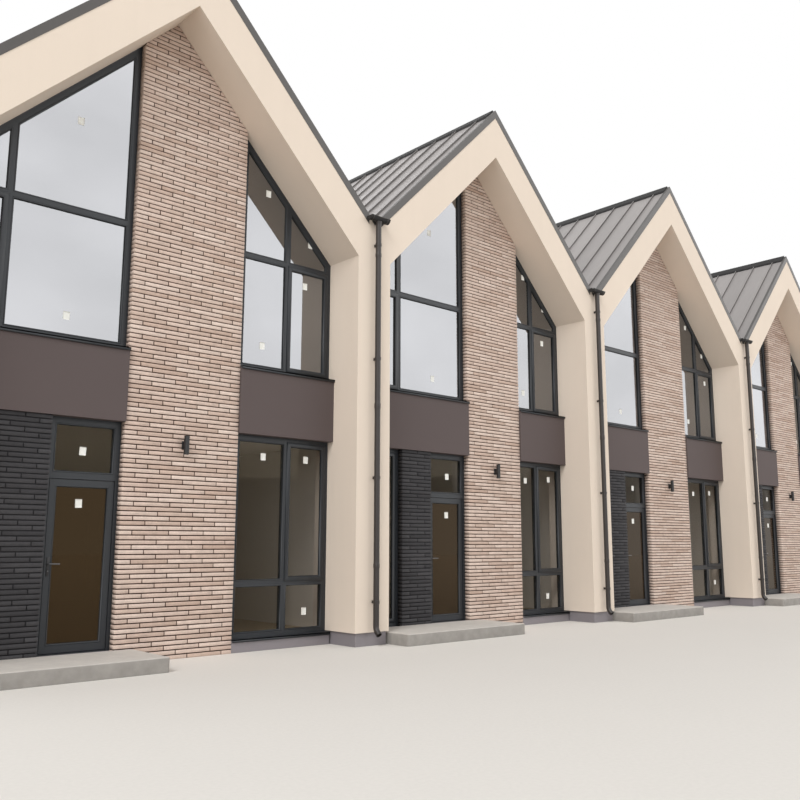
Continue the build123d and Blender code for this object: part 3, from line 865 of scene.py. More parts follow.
def rounded_slab(
    x_range: tuple[float, float],
    y_range: tuple[float, float],
    height: float,
    corner: float,
    edge: float,
) -> Shape:
    """A cast slab with round corners in plan and a rounded upper edge.

    In plan each corner is a quarter circle; over the height the outline shrinks by
    edge (1 - cos t) as the level rises by edge sin t.

    Args:
        x_range: Low and high side along X.
        y_range: Low and high side along Y.
        height: Height over the ground.
        corner: Radius of the corners in plan.
        edge: Radius of the upper edge.

    Returns:
        A closed shape on the ground.
    """
    steps, levels = 7, 6
    turn = np.linspace(0.0, math.pi / 2, steps)
    starts = np.repeat(np.arange(4) * math.pi / 2, steps)
    angle = starts + np.tile(turn, 4)
    side_x = np.repeat([1, 0, 0, 1], steps)
    side_y = np.repeat([1, 1, 0, 0], steps)
    centre_x = np.where(side_x == 1, x_range[1] - corner, x_range[0] + corner)
    centre_y = np.where(side_y == 1, y_range[1] - corner, y_range[0] + corner)
    rise = np.linspace(0.0, math.pi / 2, levels)
    shrink = np.concatenate([[0.0, 0.0], edge * (1 - np.cos(rise[1:]))])
    level = np.concatenate([[0.0, height - edge], height - edge + edge * np.sin(rise[1:])])
    reach = corner - shrink[:, None]
    x = centre_x + reach * np.cos(angle)
    y = centre_y + reach * np.sin(angle)
    return solid(np.stack([x, y, np.broadcast_to(level[:, None], x.shape)], axis=-1))


def add_piece(
    name: str,
    shape: Shape,
    finish: Finish,
    body: str = ROW_BODY,
    stands_for: Sequence[str] = (),
    smooth_angle: float | None = None,
    bevel: float = 0.0,
) -> bpy.types.Object:
    """Put a shape into the scene as a piece of the row.

    Args:
        name: The piece's name.
        shape: Its points and faces.
        finish: Its finish.
        body: The body it moves with.
        stands_for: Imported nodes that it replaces.
        smooth_angle: Faces that meet under this angle in degrees are shaded smooth.
        bevel: Width of a bevel on its edges, or 0 for none.

    Returns:
        The new object, at the origin.
    """
    mesh = bpy.data.meshes.new(name)
    sizes = np.concatenate([np.full(len(group), group.shape[1]) for group in shape.faces])
    corners = np.concatenate([group.ravel() for group in shape.faces]).astype(np.int32)
    mesh.vertices.add(len(shape.points))
    mesh.vertices.foreach_set("co", shape.points.astype(np.float32).ravel())
    mesh.loops.add(len(corners))
    mesh.loops.foreach_set("vertex_index", corners)
    mesh.polygons.add(len(sizes))
    starts = np.concatenate([[0], np.cumsum(sizes)[:-1]]).astype(np.int32)
    mesh.polygons.foreach_set("loop_start", starts)
    mesh.polygons.foreach_set("loop_total", sizes.astype(np.int32))
    mesh.update(calc_edges=True)
    mesh.validate()
    if shape.tone is not None:
        layer = mesh.attributes.new("tone", "FLOAT", "POINT")
        layer.data.foreach_set("value", shape.tone.astype(np.float32))
    if smooth_angle is not None:
        mesh.shade_smooth()
        mesh.set_sharp_from_angle(angle=math.radians(smooth_angle))
    piece = bpy.data.objects.new(name, mesh)
    bpy.context.scene.collection.objects.link(piece)
    mesh.materials.append(finish.material())
    if bevel:
        rounding = piece.modifiers.new("rounded_edges", "BEVEL")
        rounding.width = bevel
        rounding.segments = 2
        rounding.limit_method = "ANGLE"
    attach(piece, body)
    if stands_for:
        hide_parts(*stands_for)
    LOG.info("piece %s: %d points, %d faces", name, len(shape.points), len(sizes))
    return piece


def finish_node(node: bpy.types.Object, finish: Finish) -> None:
    """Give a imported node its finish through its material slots.

    Args:
        node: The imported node.
        finish: Its finish.
    """
    if not node.material_slots:
        node.data.materials.append(None)
    for place in node.material_slots:
        place.material = finish.material()


@dataclass(frozen=True)
class House:
    """One house: its number in the row and the X places that its parts line up with.

    Attributes:
        number: Number from 1, counted from the left.
        left: Party line on the left.
        right: Party line on the right.
        pier_left: Left side of the brick pier.
        pier_right: Right side of the brick pier.
    """

    number: int
    left: float
    right: float
    pier_left: float
    pier_right: float

    @property
    def middle(self) -> float:
        """X place of the ridge."""
        return (self.left + self.right) / 2


@dataclass(frozen=True)
class Light:
    """One pane's opening in a frame.

    Attributes:
        outline: Corners in X and Z, counted round to the left as seen from the front.
        face: The row's face that it stands in.
        opens: Whether it is a casement with a sash of its own.
        paper: Height of the blank paper over the middle of the light's corners, or None without one.
    """

    outline: np.ndarray
    face: Face
    opens: bool
    paper: float | None


@dataclass
class HouseRow:
    """Sizes of the whole row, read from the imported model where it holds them.

    Attributes:
        pilaster: Width of a pilaster, half of it on each side of a party line.
        soffit_slope: Rise of the gable's underside over its run.
        wall_band: Thickness of the wall between piers and rooms.
        window_setback: Depth of the frames behind the brick's face.
        frame_bar: Width of the frames' bars.
        leaf_start: Distance from a party line to the free edge of the door leaf on its right.
        pier_start: Distance from a party line to the pier on its right.
        wide: Width from which a house has the wider pier.
        pier_widths: Widths of the narrow and the wide pier.
        seam_start: Distance of the first standing seam from the front face.
        seam_pitch: Distance between the standing seams.
        houses: The houses from left to right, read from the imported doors.
    """

    pilaster: float = 0.64
    soffit_slope: float = math.tan(math.radians(45.5))
    wall_band: float = 0.405
    window_setback: float = 0.105
    frame_bar: float = 0.09
    leaf_start: float = 1.835
    pier_start: float = 2.685
    wide: float = 6.0
    pier_widths: tuple[float, float] = (1.4, 1.65)
    seam_start: float = 0.33
    seam_pitch: float = 0.53
    houses: list[House] = field(init=False)

    def __post_init__(self) -> None:
        """Read the row's box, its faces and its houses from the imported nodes."""
        low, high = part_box("pilasters")
        self.left, self.right = low.x, high.x
        self.front, self.back = low.y, high.y
        self.knee = high.z
        self.wall_face = {face: corner.y for face, corner in zip(Face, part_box("brick_piers"))}
        self.plinth_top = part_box("bay_plinths")[1].z
        self.spandrel_low, self.spandrel_top = (corner.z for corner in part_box("spandrels"))
        self.door_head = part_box("door_jambs")[1].z
        self.first_seam = self.front + self.seam_start
        lefts = [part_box(f"door_{number}_leaf")[0].x - self.leaf_start for number in range(1, 5)]
        rights = lefts[1:] + [self.right]
        self.houses = [
            self._house(number, left, right)
            for number, (left, right) in enumerate(zip(lefts, rights), start=1)
        ]

    def _house(self, number: int, left: float, right: float) -> House:
        """One house between two party lines.

        Args:
            number: The house's number.
            left: Party line on the left.
            right: Party line on the right.

        Returns:
            The house with the places of its pier, which is wider in a wide house.
        """
        pier_width = self.pier_widths[right - left > self.wide]
        pier_left = left + self.pier_start
        return House(number, left, right, pier_left, pier_left + pier_width)

    @property
    def party_lines(self) -> list[float]:
        """X places of the party lines inside the row."""
        return [house.left for house in self.houses[1:]]

    def soffit(self, house: House, x: float) -> float:
        """Height of the gable's underside over a place in a house."""
        distance = min(x - house.left, house.right - x)
        return self.knee + self.soffit_slope * (distance - self.pilaster / 2)

    def bays(self, house: House) -> tuple[tuple[float, float], tuple[float, float]]:
        """X ranges of the two glazed bays beside the pier."""
        half = self.pilaster / 2
        return (house.left + half, house.pier_left), (house.pier_right, house.right - half)

    def gable_outline(self, house: House, low_x: float, high_x: float, low_z: float) -> np.ndarray:
        """Outline of a part of the front wall that spans the ridge.

        Args:
            house: The house.
            low_x: Left side.
            high_x: Right side.
            low_z: Foot.

        Returns:
            Corners from the foot up to the soffit and its ridge.
        """
        corners = [
            (low_x, low_z),
            (high_x, low_z),
            (high_x, self.soffit(house, high_x)),
            (house.middle, self.soffit(house, house.middle)),
            (low_x, self.soffit(house, low_x)),
        ]
        return np.array(corners)

    def frame_face(self, face: Face) -> float:
        """Y place of the frames' outer side."""
        return self.wall_face[face] - face.value * self.window_setback


@dataclass
class BrickWork:
    """Long bricks in a third bond with deep joints, laid on mortar cores.

    Attributes:
        row: The row's sizes.
        finishes: The row's finishes.
        length: Length of a brick.
        height: Height of a brick.
        joint: Width of a joint.
        chamfer: Width of the worn arris round a brick's face.
        header: Depth of a brick that shows its end in a return.
        slip: Depth of a brick inside the face.
        recess: Depth of the mortar behind the bricks.
        scatter: How far faces stand in or out of their plane.
        shortest: Shortest piece at the end of a course.
    """

    row: HouseRow
    finishes: Finishes
    length: float = 0.486
    height: float = 0.046
    joint: float = 0.014
    chamfer: float = 0.003
    header: float = 0.12
    slip: float = 0.02
    recess: float = 0.012
    scatter: float = 0.0015
    shortest: float = 0.07

    def courses(self, x_range: tuple[float, float], z_range: tuple[float, float]) -> np.ndarray:
        """Low and high X, low and high Z of every brick in a rectangle.

        Course k starts at low Z + k (height + joint). Its first joint lies module (1 - (k mod 3) / 3)
        from the low side, and the others follow by one module. Pieces shorter than the shortest one
        are added to their neighbour.

        Args:
            x_range: Low and high side of the brickwork.
            z_range: Foot and top of the brickwork.

        Returns:
            One row of four numbers for each brick.
        """
        module = self.length + self.joint
        rise = self.height + self.joint
        low, high = x_range
        course = np.arange(int(math.ceil((z_range[1] - z_range[0]) / rise)))
        place = np.arange(int((high - low) / module) + 2)
        first = module * (1 - (course % 3) / 3)
        joints = low + first[:, None] + module * place[None, :]
        start = np.concatenate([np.full((len(course), 1), low), joints[:, :-1] + self.joint / 2], 1)
        end = joints - self.joint / 2
        end = np.where(joints + self.joint / 2 > high - self.shortest, high, end)
        foot = np.broadcast_to((z_range[0] + rise * course)[:, None], start.shape)
        top = np.minimum(foot + self.height, z_range[1])
        bricks = np.stack([start, end, foot, top], axis=-1).reshape(-1, 4)
        fits = (bricks[:, 0] < high - self.shortest) & (bricks[:, 3] - bricks[:, 2] > self.joint)
        return bricks[fits]

    def laid(
        self,
        bricks: np.ndarray,
        x_range: tuple[float, float],
        limits: Callable[[np.ndarray], tuple[np.ndarray, np.ndarray]],
        face_y: float,
        seed: int,
    ) -> Shape:
        """Bricks as chamfered blocks on a face that looks towards the street.

        Each brick has three rings of four corners: the face, inset by the chamfer, the arris, and the
        back. Corners are cut back to the limits at their height, so a course ends along a slope.

        Args:
            bricks: Low and high X, low and high Z of each brick.
            x_range: Low and high side of the brickwork, where bricks show their ends.
            limits: Low and high X that are free at given heights.
            face_y: Y place of the face.
            seed: Seed of the tones and of the scatter.

        Returns:
            The bricks with their tones.
        """
        low_foot, high_foot = limits(bricks[:, 2])
        low_top, high_top = limits(bricks[:, 3])
        foot_left = np.maximum(bricks[:, 0], low_foot)
        foot_right = np.minimum(bricks[:, 1], high_foot)
        whole = foot_right - foot_left > 4 * self.chamfer
        bricks, foot_left, foot_right = bricks[whole], foot_left[whole], foot_right[whole]
        top_left = np.clip(low_top[whole], bricks[:, 0], None)
        top_right = np.clip(high_top[whole], None, bricks[:, 1])
        crossed = top_left > top_right - 2 * self.chamfer
        middle = np.clip((top_left + top_right) / 2, foot_left + self.chamfer, foot_right - self.chamfer)
        top_left = np.where(crossed, middle - self.chamfer, top_left)
        top_right = np.where(crossed, middle + self.chamfer, top_right)
        x = np.stack([foot_left, foot_right, top_right, top_left], axis=1)
        z = bricks[:, [2, 2, 3, 3]]
        chance = np.random.default_rng(seed)
        stand = chance.uniform(-self.scatter, self.scatter, (len(bricks), 1))
        tone = chance.beta(2.2, 2.2, (len(bricks), 1))
        ends = (bricks[:, :1] < x_range[0] + self.joint) | (bricks[:, 1:2] > x_range[1] - self.joint)
        depth = np.where(ends, self.header, self.slip)
        inward_x = self.chamfer * np.array([1, -1, -1, 1])
        inward_z = self.chamfer * np.array([1, 1, -1, -1])
        face = np.stack([x + inward_x, np.broadcast_to(face_y + stand, x.shape), z + inward_z], -1)
        arris = np.stack([x, np.broadcast_to(face_y + stand + self.chamfer, x.shape), z], -1)
        back = np.stack([x, np.broadcast_to(face_y + depth, x.shape), z], -1)
        points = np.concatenate([face, arris, back], axis=1)
        corner = np.arange(4)
        following = (corner + 1) % 4
        wall = [
            np.column_stack([ring + corner, ring + 4 + corner, ring + 4 + following, ring + following])
            for ring in (0, 4)
        ]
        block = np.concatenate([[corner], *wall, [8 + corner[::-1]]])
        faces = (block[None, :, :] + 12 * np.arange(len(points))[:, None, None]).reshape(-1, 4)
        return Shape(points.reshape(-1, 3), [faces], np.repeat(tone.ravel(), 12))

    def dressed(self, shape: Shape, face: Face) -> Shape:
        """A shape made for the front, or its mirror image on the rear."""
        middle = sum(self.row.wall_face.values()) / 2
        return shape if face is Face.FRONT else shape.mirrored_y(middle)

    def add_layers(
        self,
        name: str,
        node: str,
        slot: Slot,
        finishes: tuple[Finish, Finish],
        shapes: Sequence[Shape],
    ) -> None:
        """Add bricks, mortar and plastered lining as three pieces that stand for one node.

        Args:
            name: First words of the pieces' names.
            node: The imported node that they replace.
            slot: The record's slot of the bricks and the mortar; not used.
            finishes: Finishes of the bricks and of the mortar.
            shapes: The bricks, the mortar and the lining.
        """
        layers = zip(
            ("bricks", "mortar", "lining"),
            shapes,
            (*finishes, self.finishes.plaster),
            (slot, slot, Slot.PLASTER),
        )
        for layer, shape, finish, place in layers:
            add_piece(f"{name}_{layer}", shape, finish, stands_for=[node])

    def pier(self, house: House, face: Face) -> None:
        """One brick pier with its mortar and its plastered inner side.

        Args:
            house: The house that it stands in.
            face: The row's face that it stands in.
        """
        row = self.row
        x_range = (house.pier_left, house.pier_right)
        half = row.pilaster / 2

        def limits(height: np.ndarray) -> tuple[np.ndarray, np.ndarray]:
            """Free X under the two slopes of the soffit, which is (z - knee) / slope further in."""
            run = half + (height - row.knee) / row.soffit_slope
            return house.left + run, house.right - run

        top = row.soffit(house, house.middle)
        bricks = self.courses(x_range, (0.0, top))
        front = row.wall_face[Face.FRONT]
        seed = SEED + 10 * house.number + face.value
        laid = self.laid(bricks, x_range, limits, front, seed)
        inner = (x_range[0] + self.recess, x_range[1] - self.recess)
        mortar = prism(row.gable_outline(house, *inner, 0.0), front + self.recess, front + self.header)
        lining = prism(row.gable_outline(house, *x_range, 0.0), front + self.header, front + row.wall_band)
        name = f"{face.name.lower()}_pier_{house.number}"
        finishes = (self.finishes.light_brick, self.finishes.light_mortar)
        shapes = [self.dressed(shape, face) for shape in (laid, mortar, lining)]
        self.add_layers(name, "brick_piers", Slot.LIGHT_BRICK, finishes, shapes)

    def dark_panel(self, house: House, side_window: float, door_left: float) -> None:
        """The charcoal brick panel between the side window and the door.

        Args:
            house: The house that it stands in.
            side_window: Width of the side window.
            door_left: X place where the door's frame starts.
        """
        row = self.row
        x_range = (house.left + row.pilaster / 2 + side_window, door_left)
        front = row.wall_face[Face.FRONT]

        def limits(height: np.ndarray) -> tuple[np.ndarray, np.ndarray]:
            """Free X, the same at every height."""
            return np.full_like(height, x_range[0]), np.full_like(height, x_range[1])

        z_range = (row.plinth_top, row.spandrel_low)
        bricks = self.courses(x_range, z_range)
        laid = self.laid(bricks, x_range, limits, front, PANEL_SEED + house.number)
        inner = (x_range[0] + self.recess, x_range[1] - self.recess)
        mortar = prism(box_outline(*inner, *z_range), front + self.recess, front + self.header)
        lining = prism(box_outline(*x_range, *z_range), front + self.header, front + row.wall_band)
        name = f"dark_panel_{house.number}"
        finishes = (self.finishes.dark_brick, self.finishes.dark_mortar)
        self.add_layers(name, "dark_brick_panels", Slot.DARK_BRICK, finishes, [laid, mortar, lining])

    def build(self, side_window: float, door_lefts: Sequence[float]) -> None:
        """Lay every pier and panel of the row.

        Args:
            side_window: Width of the side windows.
            door_lefts: X places where the doors' frames start.
        """
        for house, door_left in zip(self.row.houses, door_lefts):
            for face in Face:
                self.pier(house, face)
            self.dark_panel(house, side_window, door_left)


@dataclass(frozen=True)
class Paper:
    """A thin blank sheet that is stuck on a pane by all but one corner.

    Attributes:
        width: Width of the sheet.
        height: Height of the sheet.
        thickness: Thickness of the sheet.
        gap: Distance of its back from the pane.
        curl: How far the loose corner stands off.
        steps: Number of points along each side.
    """

    width: float = 0.085
    height: float = 0.105
    thickness: float = 0.0005
    gap: float = 0.0006
    curl: float = 0.004
    steps: int = 6

    def sheet(self, centre: Sequence[float], tilt: float) -> Shape:
        """The sheet on a pane that looks towards the street.

        Over the sheet the distance from the pane grows by curl (u v)^3, where u and v run from 0 to 1
        towards the loose corner.

        Args:
            centre: Place of the middle of the sheet's back.
            tilt: Turn in the pane's plane, in radians.

        Returns:
            A closed sheet.
        """
        steps = self.steps
        u, v = np.meshgrid(np.linspace(0, 1, steps), np.linspace(0, 1, steps), indexing="ij")
        flat_x, flat_z = (u - 0.5) * self.width, (v - 0.5) * self.height
        x = flat_x * math.cos(tilt) - flat_z * math.sin(tilt)
        z = flat_x * math.sin(tilt) + flat_z * math.cos(tilt)
        back = -self.curl * (u * v) ** 3
        front = np.stack([x, back - self.thickness, z], -1).reshape(-1, 3)
        rear = np.stack([x, back, z], -1).reshape(-1, 3)
        faces = grid_faces(steps, steps, False, False)
        rim = np.concatenate([
            np.arange(steps) * steps,
            (steps - 1) * steps + np.arange(1, steps),
            np.arange(steps - 2, -1, -1) * steps + steps - 1,
            np.arange(steps - 2, 0, -1),
        ])
        count = steps * steps
        after = np.roll(rim, -1)
        edge = np.column_stack([rim, rim + count, after + count, after])
        points = np.concatenate([front, rear]) + np.asarray(centre, float)
        return Shape(points, [faces[:, ::-1], faces + count, edge[:, ::-1]])


@dataclass
class Windows:
    """Sashes, glazing beads, gaskets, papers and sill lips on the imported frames.

    Attributes:
        row: The row's sizes.
        finishes: The row's finishes.
        side_window: Width of the narrow side windows.
        upper_mullion: Distance of the upper mullions from the outer jamb.
        lower_mullion: Distance of the lower mullions from the outer jamb.
        transom_drop: Distance of the upper transoms under the knee of the soffit.
        transom_rise: Distance of the lower transoms over the plinth.
        pane_setback: Depth of the panes behind the frames' outer side.
        door_frame: Width of a door with its frame, left of the pier.
        sash_overlap: How far a casement sash laps over the fixed frame.
        spandrel_reach: How far the spandrels stand out from the bricks.
        sill_reach: How far the sills' lips stand out from what is under them.
        paper: The blank papers.
        stray: How far papers may stray along X, in height and in turn.
        upper_papers: Levels of the papers over the middles of a left and a right bay's lights.
        lower_papers: The same for the ground floor window.
    """

    row: HouseRow
    finishes: Finishes
    side_window: float = 0.81
    upper_mullion: float = 0.81
    lower_mullion: float = 0.76
    transom_drop: float = 0.165
    transom_rise: float = 0.745
    pane_setback: float = 0.025
    door_frame: float = 0.905
    sash_overlap: float = 0.036
    spandrel_reach: float = 0.029
    sill_reach: float = 0.025
    paper: Paper = Paper()
    stray: tuple[float, float, float] = (0.06, 0.04, 0.05)
    upper_papers: tuple[tuple[float, ...], ...] = ((0.0, 0.17, -0.53, 0.4), (-0.47, 0.4, 0.57, 0.17))
    lower_papers: tuple[float | None, ...] = (None, 0.725, -0.04, 0.725)

    def split(
        self, outline: np.ndarray, mullion: float | None, transom: float | None
    ) -> list[np.ndarray]:
        """Lights of a window: its outline less the frame, cut by the middle bars.

        Args:
            outline: The window's outline.
            mullion: X place of the upright bar, or None.
            transom: Height of the level bar, or None.

        Returns:
            Outlines from left to right, the lower light before the upper one.
        """
        half = self.row.frame_bar / 2
        lights = [inset(outline, self.row.frame_bar)]
        for direction, place in (((1.0, 0.0), mullion), ((0.0, 1.0), transom)):
            if place is not None:
                lights = [
                    clipped(light, (side * direction[0], side * direction[1]), half + side * place)
                    for light in lights
                    for side in (-1.0, 1.0)
                ]
        return lights

    def upper_lights(self) -> list[Light]:
        """The windows over the spandrels, where the lower light at the outer jamb opens.

        Returns:
            Their lights on both faces of the row.
        """
        row = self.row
        lights = []
        for house in row.houses:
            for face in Face:
                for index, (low, high) in enumerate(row.bays(house)):
                    outline = np.array([
                        (low, row.spandrel_top),
                        (high, row.spandrel_top),
                        (high, row.soffit(house, high)),
                        (low, row.soffit(house, low)),
                    ])
                    mullion = low + self.upper_mullion if index == 0 else high - self.upper_mullion
                    parts = self.split(outline, mullion, row.knee - self.transom_drop)
                    for place, part in enumerate(parts):
                        paper = self.upper_papers[index][place] if face is Face.FRONT else None
                        lights.append(Light(part, face, place == 2 * index, paper))
        return lights

    def lower_lights(self) -> list[Light]:
        """The ground floor windows, the side windows and the lights over the doors.

        Returns:
            Their lights on both faces of the row, where the door's bay holds a window on the rear.
        """
        row = self.row
        lights = []
        foot, head = row.plinth_top, row.spandrel_low
        transom = foot + self.transom_rise
        for house in row.houses:
            left_bay, right_bay = row.bays(house)
            outline = box_outline(*right_bay, foot, head)
            parts = self.split(outline, right_bay[1] - self.lower_mullion, transom)
            for face in Face:
                for place, (part, level) in enumerate(zip(parts, self.lower_papers)):
                    paper = level if face is Face.FRONT else None
                    lights.append(Light(part, face, place == 3, paper))
            outline = box_outline(*left_bay, foot, head)
            parts = self.split(outline, left_bay[0] + self.lower_mullion, transom)
            lights += [Light(part, Face.REAR, place == 1, None) for place, part in enumerate(parts)]
            side = box_outline(left_bay[0], left_bay[0] + self.side_window, foot, head)
            over_door = box_outline(self.door_left(house), house.pier_left, row.door_head, head)
            for outline, opens, paper in ((side, True, None), (over_door, False, 0.0)):
                lights.append(Light(self.split(outline, None, None)[0], Face.FRONT, opens, paper))
        return lights

    def door_left(self, house: House) -> float:
        """X place where the door's frame starts."""
        return house.pier_left - self.door_frame

    def rings(self, lights: Sequence[Light], profile: np.ndarray, widen: float = 0.0) -> Shape:
        """The same section mitred round many lights.

        Args:
            lights: The lights.
            profile: The section as pairs of inset and depth behind the frame's face.
            widen: How far the section starts outside the light, over the frame.

        Returns:
            One ring round each light.
        """
        return joined([
            mitred_ring(
                light.outline - widen * mitres(light.outline), profile,
                self.row.frame_face(light.face), light.face.value,
            )
            for light in lights
        ])

    def trim(self, storey: str, lights: Sequence[Light]) -> None:
        """Beads, gaskets and sashes of one storey, from their sections.

        Args:
            storey: First word of the pieces' names.
            lights: The storey's lights.
        """
        glass = self.pane_setback
        overlap = self.sash_overlap
        fixed = [light for light in lights if not light.opens]
        opening = [light for light in lights if light.opens]
        bead = np.array([
            (-0.016, 0.0), (-0.014, -0.003), (-0.003, -0.004), (0.003, 0.001),
            (0.003, glass), (-0.016, glass),
        ])
        sash = np.array([
            (0.0, 0.0), (0.0, -0.008), (0.003, -0.011), (0.060, -0.011), (0.066, -0.006),
            (0.070, 0.010), (0.070, glass), (overlap, glass), (overlap, 0.0),
        ])
        gasket = np.array([(0.0, glass - 0.007), (0.005, glass - 0.004), (0.005, glass), (0.0, glass)])
        seals = [
            self.rings(fixed, gasket + (0.003, 0.0)),
            self.rings(opening, gasket + (0.070, 0.0), overlap),
        ]
        pieces = {
            "beads": (self.rings(fixed, bead), self.finishes.frame),
            "sashes": (self.rings(opening, sash, overlap), self.finishes.frame),
            "gaskets": (joined(seals), self.finishes.gasket),
        }
        for part, (shape, finish) in pieces.items():
            add_piece(f"{storey}_{part}", shape, finish)

    def papers(self, storey: str, lights: Sequence[Light]) -> None:
        """Blank papers on the panes, each near its light's own level.

        Args:
            storey: First word of the piece's name.
            lights: The storey's lights.
        """
        chance = np.random.default_rng(SEED + len(lights))
        sheets = []
        for light in lights:
            if light.paper is None:
                continue
            along, rise, tilt = (chance.uniform(-most, most) for most in self.stray)
            centre = light.outline.mean(axis=0)
            y = self.row.frame_face(light.face) - light.face.value * (self.pane_setback - self.paper.gap)
            place = (centre[0] + along, y, centre[1] + light.paper + rise)
            sheets.append(self.paper.sheet(place, tilt))
        add_piece(f"{storey}_papers", joined(sheets), self.finishes.paper)

    def sill_lips(self) -> None:
        """Down-turned front edges of the folded sills."""
        row = self.row
        section = np.array([(0.0, 0.015), (0.0, -0.022), (0.006, -0.026), (0.002, -0.018), (0.002, 0.013)])
        lips = []
        for house in row.houses:
            for face in Face:
                out = face.value
                brick_y = row.wall_face[face]
                spandrel_y = brick_y + out * self.spandrel_reach
                for index, bay in enumerate(row.bays(house)):
                    places = [(spandrel_y + out * self.sill_reach, row.spandrel_top)]
                    if face is Face.REAR or index == 1:
                        places.append((brick_y + out * self.sill_reach, row.plinth_top))
                    for place in places:
                        profile = place + section * (-out, 1.0)
                        lips.append(bar_along_x(profile[::-out], *bay))
        add_piece("sill_lips", joined(lips), self.finishes.frame)

    def build(self) -> None:
        """Dress both storeys."""
        for storey, lights in (("upper", self.upper_lights()), ("lower", self.lower_lights())):
            self.trim(storey, lights)
            self.papers(storey, lights)
        self.sill_lips()


@dataclass
class Doors:
    """Glazing beads, furniture and papers of the four moving doors.

    Attributes:
        row: The row's sizes.
        finishes: The row's finishes.
        plate: Width, height and depth of a handle's back plate.
        plate_drop: Distance from the plate's top down to the lever.
        lever_reach: Distance of the lever from the leaf.
        lever_length: Length of the lever.
        lever_fall: How much lower the lever's end is.
        lever_bend: Distance before and after the lever's bend at which it starts and ends.
        lever_radii: Radius of the lever at the plate and at its end.
        lock_drop: Distance from the lever down to the lock.
        lock: Radius of the lock's foot, radius of its face, height of its foot and whole height.
        sides: Number of sides of levers and locks.
        paper: The blank paper on the glass.
        paper_drop: Distance from the top of the glass down to the paper.
        paper_shift: How far the paper is off the middle, left and right in turn.
        paper_tilt: Turn of the paper, in radians.
    """

    row: HouseRow
    finishes: Finishes
    plate: tuple[float, float, float] = (0.032, 0.22, 0.008)
    plate_drop: float = 0.077
    lever_reach: float = 0.048
    lever_length: float = 0.125
    lever_fall: float = 0.002
    lever_bend: float = 0.018
    lever_radii: tuple[float, float] = (0.0092, 0.0076)
    lock_drop: float = 0.085
    lock: tuple[float, float, float, float] = (0.0085, 0.0065, 0.006, 0.008)
    sides: int = 20
    paper: Paper = Paper()
    paper_drop: float = 0.2
    paper_shift: float = 0.03
    paper_tilt: float = 0.03

    def faces(self, number: int) -> dict[int, float]:
        """Places of a leaf's two sides, which are as far from the glass.

        Args:
            number: The door's number.

        Returns:
            Y place of each side by its outward direction, the street side first.
        """
        glass_low, glass_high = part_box(f"door_{number}_glass")
        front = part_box(f"door_{number}_leaf")[0].y
        return {-1: front, 1: glass_high.y + (glass_low.y - front)}

    def glazing(self, number: int) -> None:
        """Glazing beads and gaskets on both sides of the glass, and the paper on it.

        Args:
            number: The door's number.
        """
        body = f"door_{number}"
        low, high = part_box(f"{body}_glass")
        sides = self.faces(number)
        outline = box_outline(low.x, high.x, low.z, high.z)
        outer = low.y - sides[-1]
        bead = np.array([
            (-0.014, 0.0), (-0.012, -0.003), (-0.002, -0.003), (0.004, 0.003),
            (0.004, outer), (-0.014, outer),
        ])
        gasket = np.array([(0.004, outer - 0.007), (0.010, outer - 0.004), (0.010, outer), (0.004, outer)])
        sections = {"beads": (bead, self.finishes.frame), "gaskets": (gasket, self.finishes.gasket)}
        for part, (section, finish) in sections.items():
            rings = [mitred_ring(outline, section, face_y, out) for out, face_y in sides.items()]
            add_piece(f"{body}_{part}", joined(rings), finish, body=body)
        middle = (low.x + high.x) / 2 + self.paper_shift * (-1) ** number
        centre = (middle, low.y - self.paper.gap, high.z - self.paper_drop)
        sheet = self.paper.sheet(centre, self.paper_tilt)
        add_piece(f"{body}_paper", sheet, self.finishes.paper, body=body)

    def furniture(self, number: int) -> None:
        """Back plates, levers and lock cylinders on both sides of a leaf.

        Args:
            number: The door's number.
        """
        body = f"door_{number}"
        low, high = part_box(f"{body}_handles")
        width, height, depth = self.plate
        x = low.x + width / 2
        top = high.z
        level = top - self.plate_drop
        outline = box_outline(x - width / 2, x + width / 2, top - height, top)
        foot_radius, face_radius, foot_height, lock_height = self.lock
        lock = lathe(
            np.array([
                (0.0, 0.0), (foot_radius, 0.0), (foot_radius, foot_height),
                (face_radius, lock_height), (0.0, lock_height),
            ]),
            (0.0, 0.0, 0.0), self.sides,
        )
        plates, levers = [], []
        for out, face_y in self.faces(number).items():
            end = face_y + out * depth
            plates.append(prism(outline, min(face_y, end), max(face_y, end)))
            reach = face_y + out * self.lever_reach
            corners = np.array([
                (x, end, level), (x, reach, level), (x + self.lever_length, reach, level - self.lever_fall),
            ])
            path = rounded_path(corners, self.lever_bend)
            levers.append(tube(path, np.linspace(*self.lever_radii, len(path)), self.sides))
            points = lock.points[:, [0, 2, 1]] * (1.0, out, 1.0) + (x, end, level - self.lock_drop)
            turned = Shape(points, lock.faces)
            levers.append(turned if out > 0 else turned.flipped())
        piece = add_piece(
            f"{body}_back_plates", joined(plates), self.finishes.black, body=body,
            stands_for=[f"{body}_handles"], bevel=0.002,
        )
        piece.modifiers["rounded_edges"].angle_limit = math.radians(40)
        add_piece(
            f"{body}_levers", joined(levers), self.finishes.handle, body=body,
            stands_for=[f"{body}_handles"], smooth_angle=50,
        )

    def build(self) -> None:
        """Dress every door."""
        for house in self.row.houses:
            self.glazing(house.number)
            self.furniture(house.number)


